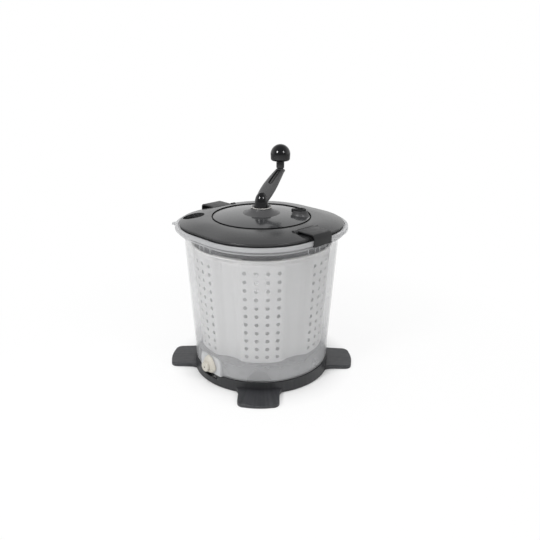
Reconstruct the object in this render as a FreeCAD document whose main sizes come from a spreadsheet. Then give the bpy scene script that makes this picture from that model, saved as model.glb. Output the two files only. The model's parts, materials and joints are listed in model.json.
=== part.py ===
import FreeCAD, Part
import Sketcher
import math
import os
from FreeCAD import Placement, Rotation, Vector

# Driving sizes in millimetres and degrees. The feet point along X and Y, the front is -Y.
SIZES = {
    # Clearances
    "run_gap": 0.3,
    "seat_gap": 0.1,
    "journal_gap": 0.05,
    "press_gap": 0.01,
    # Stand
    "base_lift": 1.5,
    "base_wall": 2.6,
    "base_top": 24,
    "base_flare": 2.1,
    "deck_top": 22,
    "foot_reach": 195,
    "foot_width": 81,
    "foot_corner": 14,
    "foot_bow": 3,
    "foot_root": 24,
    "foot_edge": 2,
    "foot_root_top": 12,
    "foot_tip_top": 8,
    "foot_pad_at": 172,
    "foot_pad_r": 12,
    "foot_pad_thick": 3.5,
    "foot_boss_wall": 2.5,
    "tap_notch_width": 40,
    "tap_notch_low": 14,
    "base_screw_at": 95,
    "base_screw_r": 2,
    "base_screw_head_r": 4.2,
    "base_screw_head": 2.6,
    "base_screw_long": 14,
    # Tub
    "tub_foot_r": 138,
    "tub_rim_r": 151.9,
    "tub_foot_square": 0.5,
    "tub_rim_square": 4.5,
    "tub_wall": 2.4,
    "tub_floor": 3,
    "tub_corner": 5,
    "rim_top": 309.2,
    "lip_reach": 173,
    "lip_side": 161,
    "lip_height": 7.2,
    "lip_wall": 2.6,
    "lip_round": 1.6,
    "lip_bead": 6.5,
    "lip_groove": 2,
    "step_in": 8.5,
    "step_height": 8,
    "nub_reach": 180,
    "nub_width": 12,
    "nub_height": 4.5,
    "arch_width": 47,
    "arch_top": 53,
    "arch_raise": 1.2,
    "screw_boss_r": 5.5,
    "screw_boss_top": 36,
    "pivot_boss_foot_r": 28,
    "pivot_boss_r": 14,
    "pivot_boss_top": 52,
    "pivot_r": 5,
    "pivot_depth": 20,
    "pivot_top": 78,
    "washer_thick": 1.5,
    # Drain tap, on the front left side
    "tap_turn": 225,
    "tap_height": 40,
    "tap_pad_face": 140.8,
    "tap_pad_r": 22,
    "tap_hole_r": 9,
    "tap_gasket_thick": 1.2,
    "tap_flange_r": 13,
    "tap_flange": 2,
    "tap_neck_r": 10.2,
    "tap_neck": 6,
    "tap_hood_rise": 23,
    "tap_hood_tip_r": 6,
    "tap_hood_tip": 3,
    "tap_inner_end": 127,
    "tap_nut_across": 24,
    "tap_nut": 6,
    "tap_nut_seat": 133,
    "tap_seat_r": 14.5,
    "tap_spindle_r": 4,
    "tap_spout_r": 2.8,
    "tap_spout_bore": 1.8,
    "tap_spout_low": 27.5,
    "tap_knob_r": 10.5,
    "tap_knob_long": 5.5,
    "tap_knob_sides": 8,
    "tap_dot_r": 1.1,
    "tap_dot_deep": 2,
    # Basket
    "basket_bottom": 61,
    "basket_top": 276,
    "basket_wall": 2.2,
    "basket_floor": 3,
    "panel_r": 128,
    "basket_slope": 0.06,
    "flute_depth": 9,
    "panel_half": 17.2,
    "flute_half": 9.5,
    "panel_count": 6,
    "basket_turn": -87.65,
    "hole_r": 3.5,
    "hole_rows": 11,
    "hole_columns": 4,
    "hole_pitch": 17.65,
    "hole_step": 9,
    "hole_first": 73.5,
    "floor_hole_r": 4,
    "floor_hole_rings": 3,
    "floor_hole_first": 45,
    "floor_hole_pitch": 26,
    "floor_hole_count": 12,
    "basket_lip_r": 143,
    "basket_lip": 2.6,
    "basket_hub_r": 12.5,
    "bush_wall": 3,
    # Lid
    "lid_reach": 164,
    "lid_side": 152,
    "lid_under": 307.5,
    "lid_edge": 6.5,
    "lid_round": 1.5,
    "lid_top": 323.8,
    "lid_mid_in": 22,
    "lid_mid_rise": 5.8,
    "lid_wall": 2.8,
    "well_r": 99.2,
    "disc_gap": 2,
    "ledge_width": 14,
    "ledge_top": 320.2,
    "skirt_r": 147.3,
    "skirt_low": 297,
    "inlet_x": -137,
    "inlet_y": 6,
    "inlet_r": 22,
    "gasket_high": 5,
    "gasket_at": 302,
    "gasket_proud": 1.3,
    # Latches, on the front right and back left sides
    "latch_turn": -45,
    "hinge_out": 120,
    "hinge_height": 319.3,
    "hinge_r": 3.2,
    "button_r": 5,
    "hinge_pin_r": 1.6,
    "latch_width": 47,
    "ear_long": 9,
    "latch_top": 322.5,
    "latch_thick": 2.8,
    "latch_bend": 6.5,
    "latch_low": 300.6,
    "latch_bead": 1,
    "latch_bead_high": 3,
    "recess_low": 315.6,
    "recess_open": 1,
    # Centre disc
    "disc_edge_top": 323.6,
    "disc_wall": 3,
    "disc_crown_r": 38,
    "disc_crown": 329.6,
    "disc_mid_r": 70,
    "disc_mid": 327.2,
    "flare_mid_r": 25.6,
    "flare_mid": 333.2,
    "collar_r": 20,
    "collar_top": 340.6,
    "filler_at": 77,
    "filler_r": 15,
    "filler_top": 335.6,
    "filler_flare_r": 21,
    "filler_neck": 331.5,
    "filler_wall": 2.6,
    "filler_cup_low": 329.5,
    "filler_hole_r": 6.5,
    "plug_tab_width": 9,
    "plug_tab": 2,
    "plug_tab_root": 9.5,
    "plug_tab_drop": 5,
    # Gear train: fixed ring, three planets, sun
    "gear_module": 2,
    "sun_teeth": 18,
    "planet_teeth": 18,
    "planet_count": 3,
    "pressure_angle": 20,
    "gear_play": 0.3,
    "gear_low": 299,
    "gear_thick": 10,
    "ring_gear_r": 68,
    "cover_thick": 3,
    "clamp_wall": 9,
    "gear_screw_count": 6,
    "gear_screw_at": 63.5,
    "gear_screw_r": 1.6,
    "gear_screw_head_r": 3.2,
    "gear_screw_head": 2,
    "gear_screw_long": 16,
    "disc_screw_count": 4,
    "disc_screw_at": 93,
    "carrier_r": 44,
    "carrier_thick": 4,
    "carrier_hub_r": 11,
    "carrier_lift": 3,
    "planet_pin_r": 3,
    "shaft_r": 6,
    "shaft_top": 360,
    "sun_journal_low": 287.5,
    "drive_hex": 10,
    "drive_low": 273.5,
    "tube_wall": 3,
    # Driver wheel under the lid
    "driver_r": 137.5,
    "driver_band": 10,
    "driver_top": 293,
    "driver_low": 277,
    "driver_plate_top": 286.8,
    "driver_plate": 3.2,
    "driver_hub_r": 17,
    "driver_inner_r": 30,
    "driver_spoke": 16,
    "lug_low": 262,
    "lug_in": 131,
    "lug_out": 136.2,
    "lug_half": 15.8,
    "driver_screw_head_r": 9,
    "driver_screw_head": 2.5,
    "driver_screw_r": 2,
    "driver_screw_long": 10,
    # Crank
    "crank_turn": 62.8,
    "crank_throw": 80,
    "hub_r": 13,
    "hub_low": 340.9,
    "hub_top": 370,
    "arm_root_width": 26,
    "arm_belly_width": 33,
    "arm_end_r": 8.5,
    "arm_root_height": 18,
    "arm_end_height": 10.5,
    "arm_root_z": 351,
    "arm_knee_x": 36,
    "arm_knee_z": 361,
    "arm_end_z": 397.5,
    "arm_end_top": 404,
    "arm_end_round": 2.5,
    "arm_sections": 5,
    "slot_long": 32,
    "slot_wide": 7,
    "slot_deep": 2.6,
    "slot_share": 0.71,
    "post_r": 7.3,
    "post_neck_r": 5.8,
    "post_neck": 2.4,
    "post_top": 421,
    "spindle_r": 4,
    "knob_r": 19.25,
    "knob_top": 453,
    "knob_flat_r": 7.5,
    "knob_skirt": 11,
    "knob_cap": 2.4,
    "knob_lead": 1.5,
}

doc = FreeCAD.newDocument("PortableWasher")
sheet = doc.addObject("Spreadsheet::Sheet", "Sizes")
for row, (alias, number) in enumerate(SIZES.items(), start=1):
    sheet.set(f"A{row}", alias)
    sheet.set(f"B{row}", str(number))
    sheet.setAlias(f"B{row}", alias)
doc.recompute()


class Size:
    """A number together with the sheet expression that gives it."""

    def __init__(self, value, text):
        self.value = value
        self.text = text

    def __add__(self, other):
        other = as_size(other)
        return Size(self.value + other.value, f"({self.text} + {other.text})")

    def __sub__(self, other):
        other = as_size(other)
        return Size(self.value - other.value, f"({self.text} - {other.text})")

    def __mul__(self, other):
        other = as_size(other)
        return Size(self.value * other.value, f"({self.text} * {other.text})")

    def __truediv__(self, other):
        other = as_size(other)
        return Size(self.value / other.value, f"({self.text} / {other.text})")


def as_size(number):
    return number if isinstance(number, Size) else Size(float(number), repr(float(number)))


class SheetSizes:
    """Gives each alias of the sheet as a Size."""

    def __getattr__(self, alias):
        return Size(float(sheet.get(alias)), f"Sizes.{alias}")


S = SheetSizes()
ZERO = as_size(0)
UP = Vector(0, 0, 1)
OUT = Vector(1, 0, 0)
ACROSS = Vector(0, 1, 0)
SIDE_VIEW = Rotation(OUT, 90)
FRONT_VIEW = Rotation(ACROSS, UP, OUT, "ZXY")
PIECES = []


def bind(thing, **sizes):
    for name, size in sizes.items():
        thing.setExpression(name, as_size(size).text)
    return thing


def put(thing, x=ZERO, y=ZERO, z=ZERO):
    for axis, size in (("x", x), ("y", y), ("z", z)):
        thing.setExpression(f".Placement.Base.{axis}", as_size(size).text)
    return thing


def piece(thing, label):
    """Name a finished sub-part; its label is also its file's name."""
    thing.Label = label
    PIECES.append(thing)
    return thing


# Primitives, booleans and sketches


def drum(radius, low, high, x=ZERO, y=ZERO):
    """An upright cylinder from height low to height high."""
    thing = doc.addObject("Part::Cylinder", "Drum")
    bind(thing, Radius=radius, Height=as_size(high) - low)
    return put(thing, x, y, low)


def cone(foot_r, top_r, low, high):
    thing = doc.addObject("Part::Cone", "Cone")
    bind(thing, Radius1=foot_r, Radius2=top_r, Height=as_size(high) - low)
    return put(thing, z=low)


def block(x0, x1, y0, y1, z0, z1):
    thing = doc.addObject("Part::Box", "Block")
    bind(thing, Length=as_size(x1) - x0, Width=as_size(y1) - y0, Height=as_size(z1) - z0)
    return put(thing, x0, y0, z0)


def hexagon(across, low, high):
    """A hexagonal bar, given across its flats."""
    thing = doc.addObject("Part::Prism", "Hexagon")
    thing.Polygon = 6
    bind(thing, Circumradius=across / math.sqrt(3), Height=as_size(high) - low)
    return put(thing, z=low)


def fuse(*parts):
    thing = doc.addObject("Part::MultiFuse", "Union")
    thing.Shapes = list(parts)
    return thing


def cut(base, *tools):
    thing = doc.addObject("Part::Cut", "Cut")
    thing.Base = base
    thing.Tool = tools[0] if len(tools) == 1 else fuse(*tools)
    return thing


def common(first, second):
    thing = doc.addObject("Part::Common", "Common")
    thing.Base = first
    thing.Tool = second
    return thing


def group(*parts):
    thing = doc.addObject("Part::Compound", "Group")
    thing.Links = list(parts)
    return thing


def ring(outer, inner, low, high):
    return cut(drum(outer, low, high), drum(inner, low, high))


def turn(thing, degrees):
    """Turn a finished shape about the vertical axis, in a holder that leaves its own place bound."""
    holder = group(thing)
    holder.Placement = Placement(Vector(), Rotation(UP, degrees))
    return holder


def hold(sketch, geometry, end, x, y):
    """Fix one point of a sketch at two sheet expressions."""
    for kind, size in (("DistanceX", x), ("DistanceY", y)):
        if abs(size.value) < 1e-9:
            axis = -2 if kind == "DistanceX" else -1
            sketch.addConstraint(Sketcher.Constraint("PointOnObject", geometry, end, axis))
            continue
        index = sketch.addConstraint(Sketcher.Constraint(kind, -1, 1, geometry, end, size.value))
        sketch.setExpression(f"Constraints[{index}]", size.text)


def outline(sketch, corners, arcs=None):
    """Close a loop through corners; arcs gives, for a side's number, the point it bends through."""
    arcs = arcs or {}
    corners = [(as_size(x), as_size(y)) for x, y in corners]
    sides = []
    for i, start in enumerate(corners):
        stop = corners[(i + 1) % len(corners)]
        a = Vector(start[0].value, start[1].value, 0)
        b = Vector(stop[0].value, stop[1].value, 0)
        if i not in arcs:
            sides.append((sketch.addGeometry(Part.LineSegment(a, b)), 1, 2))
            continue
        through = [as_size(size) for size in arcs[i]]
        middle = Vector(through[0].value, through[1].value, 0)
        number = sketch.addGeometry(Part.Arc(a, middle, b))
        leftward = (middle - a).cross(b - middle).z > 0
        sides.append((number, 1, 2) if leftward else (number, 2, 1))
        mark = sketch.addGeometry(Part.Point(middle), True)
        hold(sketch, mark, 1, *through)
        sketch.addConstraint(Sketcher.Constraint("PointOnObject", mark, 1, number))
    for i, (number, start, stop) in enumerate(sides):
        follower, follower_start, _ = sides[(i + 1) % len(sides)]
        sketch.addConstraint(Sketcher.Constraint("Coincident", number, stop, follower, follower_start))
        hold(sketch, number, start, *corners[i])
    return sketch


def free_sketch(rotation=Rotation()):
    sketch = doc.addObject("Sketcher::SketchObject", "Outline")
    sketch.Placement = Placement(Vector(), rotation)
    return sketch


def extrude(sketch, direction, low, high):
    """Carry a sketch along direction, from low to high."""
    thing = doc.addObject("Part::Extrusion", "Prism")
    thing.Base = sketch
    thing.DirMode = "Custom"
    thing.Dir = direction
    thing.Solid = True
    bind(thing, LengthFwd=high, LengthRev=ZERO - low)
    return thing


def turned(corners, arcs=None):
    """A body of revolution about Z; corners are radius and height."""
    body = doc.addObject("PartDesign::Body", "Turned")
    sketch = body.newObject("Sketcher::SketchObject", "Section")
    plane = next(f for f in body.Origin.OriginFeatures if f.Role == "XZ_Plane")
    sketch.AttachmentSupport = [(plane, "")]
    sketch.MapMode = "FlatFace"
    outline(sketch, corners, arcs)
    revolution = body.newObject("PartDesign::Revolution", "Revolution")
    revolution.Profile = sketch
    revolution.ReferenceAxis = (sketch, ["V_Axis"])
    revolution.Angle = 360
    return body


def round_edges(thing, radius, chosen):
    """Round the edges of a finished shape for which chosen says yes."""
    doc.recompute()
    fillet = doc.addObject("Part::Fillet", "Round")
    fillet.Base = thing
    size = as_size(radius).value
    edges = enumerate(thing.Shape.Edges, start=1)
    fillet.Edges = [(i, size, size) for i, edge in edges if chosen(edge)]
    return fillet


def around(make, count, first=0):
    """Copies of one shape, evenly spaced about the vertical axis."""
    return [turn(make(), first + 360 * i / count) for i in range(count)]


def squared_outline(side, reach):
    """A rounded square with its corners on the axes.

    side is the distance to the flat sides and reach the distance to the rounded corners.
    """
    centre = (reach - side) / (1 - math.sqrt(0.5))
    radius = reach - centre
    near = radius * math.sqrt(0.5)
    far = centre + near
    quarter = [(1, 0), (0, 1), (-1, 0), (0, -1)]
    corners = []
    arcs = {}
    for i, (cx, cy) in enumerate(quarter):
        arcs[2 * i] = (reach * cx, reach * cy)
        corners.append((far * cx + near * cy, far * cy - near * cx))
        corners.append((far * cx - near * cy, far * cy + near * cx))
    return outline(free_sketch(), corners, arcs)


def squared(side, reach, low, high):
    return extrude(squared_outline(side, reach), UP, low, high)


def face_turned(thing, degrees, height):
    """Lay a shape made about Z so that its axis points outwards at that bearing and height."""
    outward = Vector(math.cos(math.radians(degrees)), math.sin(math.radians(degrees)), 0)
    holder = group(thing)
    holder.Placement = Placement(Vector(), Rotation(UP, outward))
    return put(holder, z=height)


def from_side(corners, arcs, half_width):
    """A prism across Y from an outline in x and z."""
    return extrude(outline(free_sketch(SIDE_VIEW), corners, arcs), ACROSS, ZERO - half_width, half_width)


def from_front(corners, arcs, near, far):
    """A prism along X from an outline in y and z."""
    return extrude(outline(free_sketch(FRONT_VIEW), corners, arcs), OUT, near, far)


def from_top(corners, arcs, low, high):
    """A prism along Z from an outline in x and y."""
    return extrude(outline(free_sketch(), corners, arcs), UP, low, high)


def tangent(degrees):
    return Size(math.tan(math.radians(degrees.value)), f"tan({degrees.text} * 1 deg)")


def wedge(half_angle, reach, low, high):
    """A sector from the vertical axis, half_angle to each side of +X."""
    side = reach * tangent(half_angle)
    return from_top([(0, 0), (reach, ZERO - side), (reach, side)], None, low, high)


def made(shape):
    """A document object for a shape that is worked out by formula."""
    thing = doc.addObject("Part::Feature", "Formed")
    thing.Shape = shape
    return thing


def polar(radius, degrees, height=0.0):
    angle = math.radians(degrees)
    return Vector(radius * math.cos(angle), radius * math.sin(angle), height)


def screw(radius, head_r, head, low, long, x, y):
    """A pan-head screw pointing up, with the underside of its head at height low."""
    return fuse(drum(head_r, as_size(low) - head, low, x, y), drum(radius, low, as_size(low) + long, x, y))


def polar_places(at, count, first=0.0):
    """Sheet expressions for evenly spaced points on a circle."""
    angles = [math.radians(first + 360 * i / count) for i in range(count)]
    return [(at * math.cos(a), at * math.sin(a)) for a in angles]


# Stand

DECK_LOW = S.deck_top - S.base_wall
RING_IN = S.tub_foot_r + S.run_gap
BASE_SCREW_PLACES = polar_places(S.base_screw_at, 4)
FOOT_PLACES = polar_places(S.foot_pad_at, 4)
HALF_ROOT = 1 - math.sqrt(0.5)


def is_foot_rim(edge):
    """The top edge of a foot, round its tip and along its sides."""
    box = edge.BoundBox
    return box.ZMin > S.base_lift.value + 1 and box.XMax > RING_IN.value and box.YLength < S.foot_width.value


def foot():
    """One wide foot along +X: sloped top, bowed tip, flared root, ribbed hollow underneath."""
    half = S.foot_width / 2
    corner = S.foot_corner
    root = S.foot_root
    root_x = RING_IN - root / 2
    tip = S.foot_reach - S.foot_bow
    plan = from_top(
        [
            (root_x - root, ZERO - half - root),
            (root_x, ZERO - half - root),
            (root_x + root, ZERO - half),
            (tip - corner, ZERO - half),
            (tip, corner - half),
            (tip, half - corner),
            (tip - corner, half),
            (root_x + root, half),
            (root_x, half + root),
            (root_x - root, half + root),
        ],
        {
            1: (root_x + root * HALF_ROOT, ZERO - half - root * HALF_ROOT),
            3: (tip - corner * HALF_ROOT, corner * HALF_ROOT - half),
            4: (S.foot_reach, ZERO),
            5: (tip - corner * HALF_ROOT, half - corner * HALF_ROOT),
            7: (root_x + root * HALF_ROOT, half + root * HALF_ROOT),
        },
        S.base_lift,
        S.foot_root_top,
    )
    inner_end = root_x - root
    slope = [(inner_end, S.base_lift), (S.foot_reach, S.base_lift), (S.foot_reach, S.foot_tip_top)]
    slope.append((inner_end, S.foot_root_top))
    solid = common(plan, from_side(slope, None, half + root))
    solid = round_edges(solid, S.foot_edge, is_foot_rim)
    roof = S.base_wall
    hollow = [(inner_end, 0), (tip - corner / 2, 0), (tip - corner / 2, S.foot_tip_top - roof)]
    hollow.append((inner_end, S.foot_root_top - roof))
    bay = (S.foot_width - roof * 4) / 3
    lanes = [ZERO - half + roof, ZERO - bay / 2, bay / 2 + roof]
    bays = [block(inner_end, tip, low, low + bay, 0, S.foot_root_top) for low in lanes]
    pockets = common(from_side(hollow, None, half), fuse(*bays))
    stub = drum(S.foot_pad_r + S.foot_boss_wall, S.base_lift, S.foot_tip_top, S.foot_pad_at)
    seat = drum(S.foot_pad_r + S.seat_gap, 0, S.foot_pad_thick, S.foot_pad_at)
    return cut(fuse(cut(solid, pockets), stub), seat)


def base_plate():
    """Ring wall and deck that carry the tub, on four feet, with a notch under the tap."""
    top_r = RING_IN + S.base_wall
    foot_r = top_r + S.base_flare
    shell = turned(
        [
            (0, DECK_LOW),
            (RING_IN, DECK_LOW),
            (foot_r - S.base_wall, S.base_lift),
            (foot_r, S.base_lift),
            (top_r, S.base_top),
            (RING_IN, S.base_top),
            (RING_IN, S.deck_top),
            (0, S.deck_top),
        ]
    )
    holes = [drum(S.base_screw_r + S.seat_gap, 0, S.base_top, x, y) for x, y in BASE_SCREW_PLACES]
    half = S.tap_notch_width / 2
    notch = block(S.tub_foot_r, S.foot_reach, ZERO - half, half, S.tap_notch_low, S.rim_top)
    return cut(fuse(shell, *around(foot, 4)), turn(notch, S.tap_turn.value), *holes)


piece(base_plate(), "base_plate")
piece(group(*[drum(S.foot_pad_r, 0, S.foot_pad_thick, x, y) for x, y in FOOT_PLACES]), "foot_pads")
BASE_SCREW = (S.base_screw_r, S.base_screw_head_r, S.base_screw_head, DECK_LOW, S.base_screw_long)
piece(group(*[screw(*BASE_SCREW, x, y) for x, y in BASE_SCREW_PLACES]), "base_screws")

# Tub

TUB_SLOPE = (S.tub_rim_r - S.tub_foot_r) / (S.rim_top - S.deck_top)
FLOOR_TOP = S.deck_top + S.tub_floor
LIP_LOW = S.rim_top - S.lip_height
LAND_TOP = S.rim_top - S.lip_groove
STEP_LOW = LIP_LOW - S.step_height


def tub_radius(height):
    """Outside radius of the tub wall at a height."""
    return S.tub_foot_r + TUB_SLOPE * (as_size(height) - S.deck_top)


def tub_form(inset, low, high):
    """The wall's form, drawn in by inset: almost round at the foot, a rounded square at the rim."""
    grow = (S.tub_rim_square - S.tub_foot_square) / (S.rim_top - S.deck_top)
    loft = doc.addObject("Part::Loft", "TubForm")
    loft.Sections = [
        put(squared_outline(side, side + S.tub_foot_square + grow * (height - S.deck_top)), z=height)
        for side, height in ((tub_radius(height) - inset, height) for height in (low, high))
    ]
    loft.Solid = True
    loft.Ruled = True
    return loft


def on_tap(thing):
    return face_turned(thing, S.tap_turn.value, S.tap_height)


def tap_axis_drum(radius, near, far):
    """A cylinder along the tap's axis, between two distances from the tub's axis."""
    return on_tap(drum(radius, near, far))


def rim_lip():
    """The rounded outer lip over a smaller step, with a nub on its left corner."""
    lip = squared(S.lip_side, S.lip_reach, LIP_LOW, S.rim_top)
    lip = round_edges(lip, S.lip_round, lambda edge: abs(edge.BoundBox.ZLength) < 1e-6)
    step = squared(S.lip_side - S.step_in, S.lip_reach - S.step_in, STEP_LOW, LIP_LOW + S.lip_round)
    nub_half = S.nub_width / 2
    nub_mid = S.rim_top - S.lip_height / 2
    nub = block(
        ZERO - S.nub_reach, ZERO - S.lip_reach + S.lip_wall, ZERO - nub_half, nub_half,
        nub_mid - S.nub_height / 2, nub_mid + S.nub_height / 2,
    )
    return [lip, step, nub]


def rim_hollows():
    """The land that the lid sits on, the space under the lip, and crescents inside the step's corners."""
    land = squared(S.lip_side - S.lip_bead, S.lip_reach - S.lip_bead, LAND_TOP, S.rim_top)
    roof = LAND_TOP - S.lip_wall
    under = cut(
        squared(S.lip_side - S.lip_wall, S.lip_reach - S.lip_wall, LIP_LOW, roof),
        squared(S.lip_side - S.step_in, S.lip_reach - S.step_in, LIP_LOW, roof),
    )
    inset = S.step_in + S.lip_wall
    rim_r = S.tub_rim_r + S.lip_wall / 2
    crescents = cut(
        squared(S.lip_side - inset, S.lip_reach - inset, STEP_LOW, roof),
        squared(rim_r, rim_r + S.tub_rim_square, STEP_LOW, roof),
    )
    return [land, under, crescents]


def tap_pad():
    """Arch-topped flat on the wall that the tap's flange seats on."""
    half = S.tap_pad_r
    low = S.base_top + S.run_gap
    arch = [(ZERO - half, low), (half, low), (half, S.tap_height), (ZERO - half, S.tap_height)]
    top = {2: (ZERO, S.tap_height + half)}
    return turn(from_front(arch, top, S.tub_foot_r - half, S.tap_pad_face), S.tap_turn.value)


def foot_arch():
    """A low moulded arch on the wall above a foot."""
    half = S.arch_width / 2
    low = S.base_top + S.run_gap
    shoulder = (S.arch_top - low) / 3
    corners = [(ZERO - half, low), (half, low), (half - shoulder / 2, low + shoulder)]
    corners.append((shoulder / 2 - half, low + shoulder))
    top = {2: (ZERO, S.arch_top)}
    return from_front(corners, top, S.tub_foot_r / 2, S.foot_reach)


def outer_tub():
    """Tapered tub with its rim, floor bosses and tap seat."""
    wall = round_edges(
        tub_form(ZERO, S.deck_top, S.rim_top),
        S.tub_corner,
        lambda edge: edge.BoundBox.ZMax < S.deck_top.value + 1,
    )
    arches = common(fuse(*around(foot_arch, 4)), tub_form(ZERO - S.arch_raise, S.deck_top, S.rim_top))
    cavity = tub_form(S.tub_wall, FLOOR_TOP, S.rim_top)
    shell = cut(fuse(wall, arches, tap_pad(), *rim_lip()), cavity, *rim_hollows())
    boss_low = FLOOR_TOP - S.seat_gap
    pivot = cone(S.pivot_boss_foot_r, S.pivot_boss_r, boss_low, S.pivot_boss_top)
    bosses = [drum(S.screw_boss_r, boss_low, S.screw_boss_top, x, y) for x, y in BASE_SCREW_PLACES]
    pilots = [
        drum(S.base_screw_r + S.press_gap, S.deck_top, DECK_LOW + S.base_screw_long + S.seat_gap, x, y)
        for x, y in BASE_SCREW_PLACES
    ]
    pin_hole = drum(S.pivot_r + S.press_gap, S.pivot_boss_top - S.pivot_depth, S.pivot_boss_top)
    tap_hole = tap_axis_drum(S.tap_hole_r, S.tap_inner_end, S.foot_reach)
    nut_seat = tap_axis_drum(S.tap_seat_r, S.tap_nut_seat, S.tap_pad_face - S.seat_gap)
    return cut(fuse(shell, pivot, nut_seat, *bosses), pin_hole, tap_hole, *pilots)


piece(outer_tub(), "outer_tub")
WASHER_TOP = S.pivot_boss_top + S.washer_thick
piece(drum(S.pivot_r, S.pivot_boss_top - S.pivot_depth, S.pivot_top), "pivot_pin")
piece(ring(S.pivot_boss_r, S.pivot_r + S.seat_gap, S.pivot_boss_top, WASHER_TOP), "thrust_washer")

# Drain tap. Its pieces are turned about Z with their heights measured out from the tub's axis.

TAP_FLANGE_LOW = S.tap_pad_face + S.tap_gasket_thick
TAP_FLANGE_TOP = TAP_FLANGE_LOW + S.tap_flange
TAP_NECK_TOP = TAP_FLANGE_TOP + S.tap_neck
TAP_STEM_R = S.tap_hole_r - S.seat_gap


def is_hood_rim(edge):
    """The long front edges of the hood."""
    box = edge.BoundBox
    return box.XMin > TAP_FLANGE_LOW.value + 1 and box.ZLength > 1


def tap_body():
    """Flange, threaded stem and neck on one axis, under a teardrop hood, with a short spout below."""
    spindle_hole = S.tap_spindle_r + S.journal_gap
    barrel = turned(
        [
            (spindle_hole, S.tap_inner_end),
            (TAP_STEM_R, S.tap_inner_end),
            (TAP_STEM_R, TAP_FLANGE_LOW),
            (S.tap_flange_r, TAP_FLANGE_LOW),
            (S.tap_flange_r - S.tap_flange / 2, TAP_FLANGE_TOP),
            (S.tap_neck_r, TAP_FLANGE_TOP),
            (S.tap_neck_r, TAP_NECK_TOP),
            (spindle_hole, TAP_NECK_TOP),
        ]
    )
    half = S.tap_neck_r
    low = S.tap_height - S.tap_spindle_r / 4
    tip_r = S.tap_hood_tip_r
    tip = S.tap_height + S.tap_hood_rise
    front = from_front(
        [(ZERO - half, low), (half, low), (tip_r, tip - tip_r), (ZERO - tip_r, tip - tip_r)],
        {2: (ZERO, tip)},
        TAP_FLANGE_LOW,
        TAP_NECK_TOP,
    )
    slope = [
        (TAP_FLANGE_LOW, low),
        (TAP_NECK_TOP, low),
        (TAP_FLANGE_LOW + S.tap_hood_tip, tip),
        (TAP_FLANGE_LOW, tip),
    ]
    hood = round_edges(common(front, from_side(slope, None, half)), S.tap_hood_tip / 2, is_hood_rim)
    middle = TAP_FLANGE_TOP + S.tap_neck / 2
    spout = drum(S.tap_spout_r, S.tap_spout_low, S.tap_height, middle)
    bore = drum(S.tap_spout_bore, S.tap_spout_low, S.tap_height, middle)
    clear = tap_axis_drum(spindle_hole, S.tap_inner_end, TAP_NECK_TOP)
    solid = fuse(on_tap(barrel), turn(fuse(spout, hood), S.tap_turn.value))
    return cut(solid, turn(bore, S.tap_turn.value), clear)


def tap_knob():
    """Faceted cap with a small centre hole, on the spindle that opens the tap."""
    low = TAP_NECK_TOP + S.run_gap
    top = low + S.tap_knob_long
    facets = doc.addObject("Part::Prism", "Facets")
    bind(facets, Polygon=S.tap_knob_sides, Circumradius=S.tap_knob_r, Height=S.tap_knob_long)
    put(facets, z=low)
    crown = turned(
        [
            (0, low),
            (S.tap_knob_r, low),
            (S.tap_knob_r, top - S.tap_knob_long / 3),
            (S.tap_knob_r - S.tap_knob_long / 3, top),
            (0, top),
        ]
    )
    spindle = drum(S.tap_spindle_r, S.tap_inner_end, low + S.seat_gap)
    dot = drum(S.tap_dot_r, top - S.tap_dot_deep, top)
    return on_tap(cut(fuse(common(facets, crown), spindle), dot))


TAP_NUT_LOW = S.tap_nut_seat - S.tap_nut
tap_nut = cut(
    hexagon(S.tap_nut_across, TAP_NUT_LOW, S.tap_nut_seat),
    drum(TAP_STEM_R + S.seat_gap, TAP_NUT_LOW, S.tap_nut_seat),
)
piece(tap_body(), "tap_body")
piece(on_tap(ring(S.tap_flange_r, S.tap_hole_r, S.tap_pad_face, TAP_FLANGE_LOW)), "tap_gasket")
piece(on_tap(tap_nut), "tap_nut")
piece(tap_knob(), "tap_knob")

# Basket

HUB_LOW = WASHER_TOP + S.run_gap
BUSH_R = S.pivot_r + S.journal_gap + S.bush_wall


def lobed_wire(inset, height):
    """Section of the basket wall: panel arcs, set-back flute arcs, and straight flanks."""
    panel = S.panel_r.value + S.basket_slope.value * (height - S.basket_bottom.value) - inset
    flute = panel - S.flute_depth.value
    step = 360 / S.panel_count.value
    panel_half = S.panel_half.value
    flute_half = S.flute_half.value
    edges = []
    for i in range(int(S.panel_count.value)):
        middle = S.basket_turn.value + step * i
        next_flute = middle + step / 2
        edges.append(arc_about(panel, middle, panel_half, height))
        edges.append(line(panel, middle + panel_half, flute, next_flute - flute_half, height))
        edges.append(arc_about(flute, next_flute, flute_half, height))
        edges.append(line(flute, next_flute + flute_half, panel, middle + step - panel_half, height))
    return Part.Wire(edges)


def arc_about(radius, middle, half, height):
    ends = [polar(radius, middle + half * k, height) for k in (-1, 0, 1)]
    return Part.Arc(*ends).toShape()


def line(start_r, start, stop_r, stop, height):
    return Part.LineSegment(polar(start_r, start, height), polar(stop_r, stop, height)).toShape()


def lobed_solid(inset, low, high):
    wires = [lobed_wire(inset, height) for height in (low.value, high.value)]
    return made(Part.makeLoft(wires, True, True))


def wall_holes():
    """Rows of round holes through the six panels."""
    reach = S.basket_lip_r.value
    step = 360 / S.panel_count.value
    drills = []
    columns = int(S.hole_columns.value)
    for i in range(int(S.panel_count.value)):
        for column in range(columns):
            bearing = S.basket_turn.value + step * i + S.hole_step.value * (column - (columns - 1) / 2)
            for row in range(int(S.hole_rows.value)):
                height = S.hole_first.value + S.hole_pitch.value * row
                start = polar(reach / 2, bearing, height)
                drills.append(Part.makeCylinder(S.hole_r.value, reach / 2, start, polar(1, bearing)))
    return made(Part.makeCompound(drills))


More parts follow.
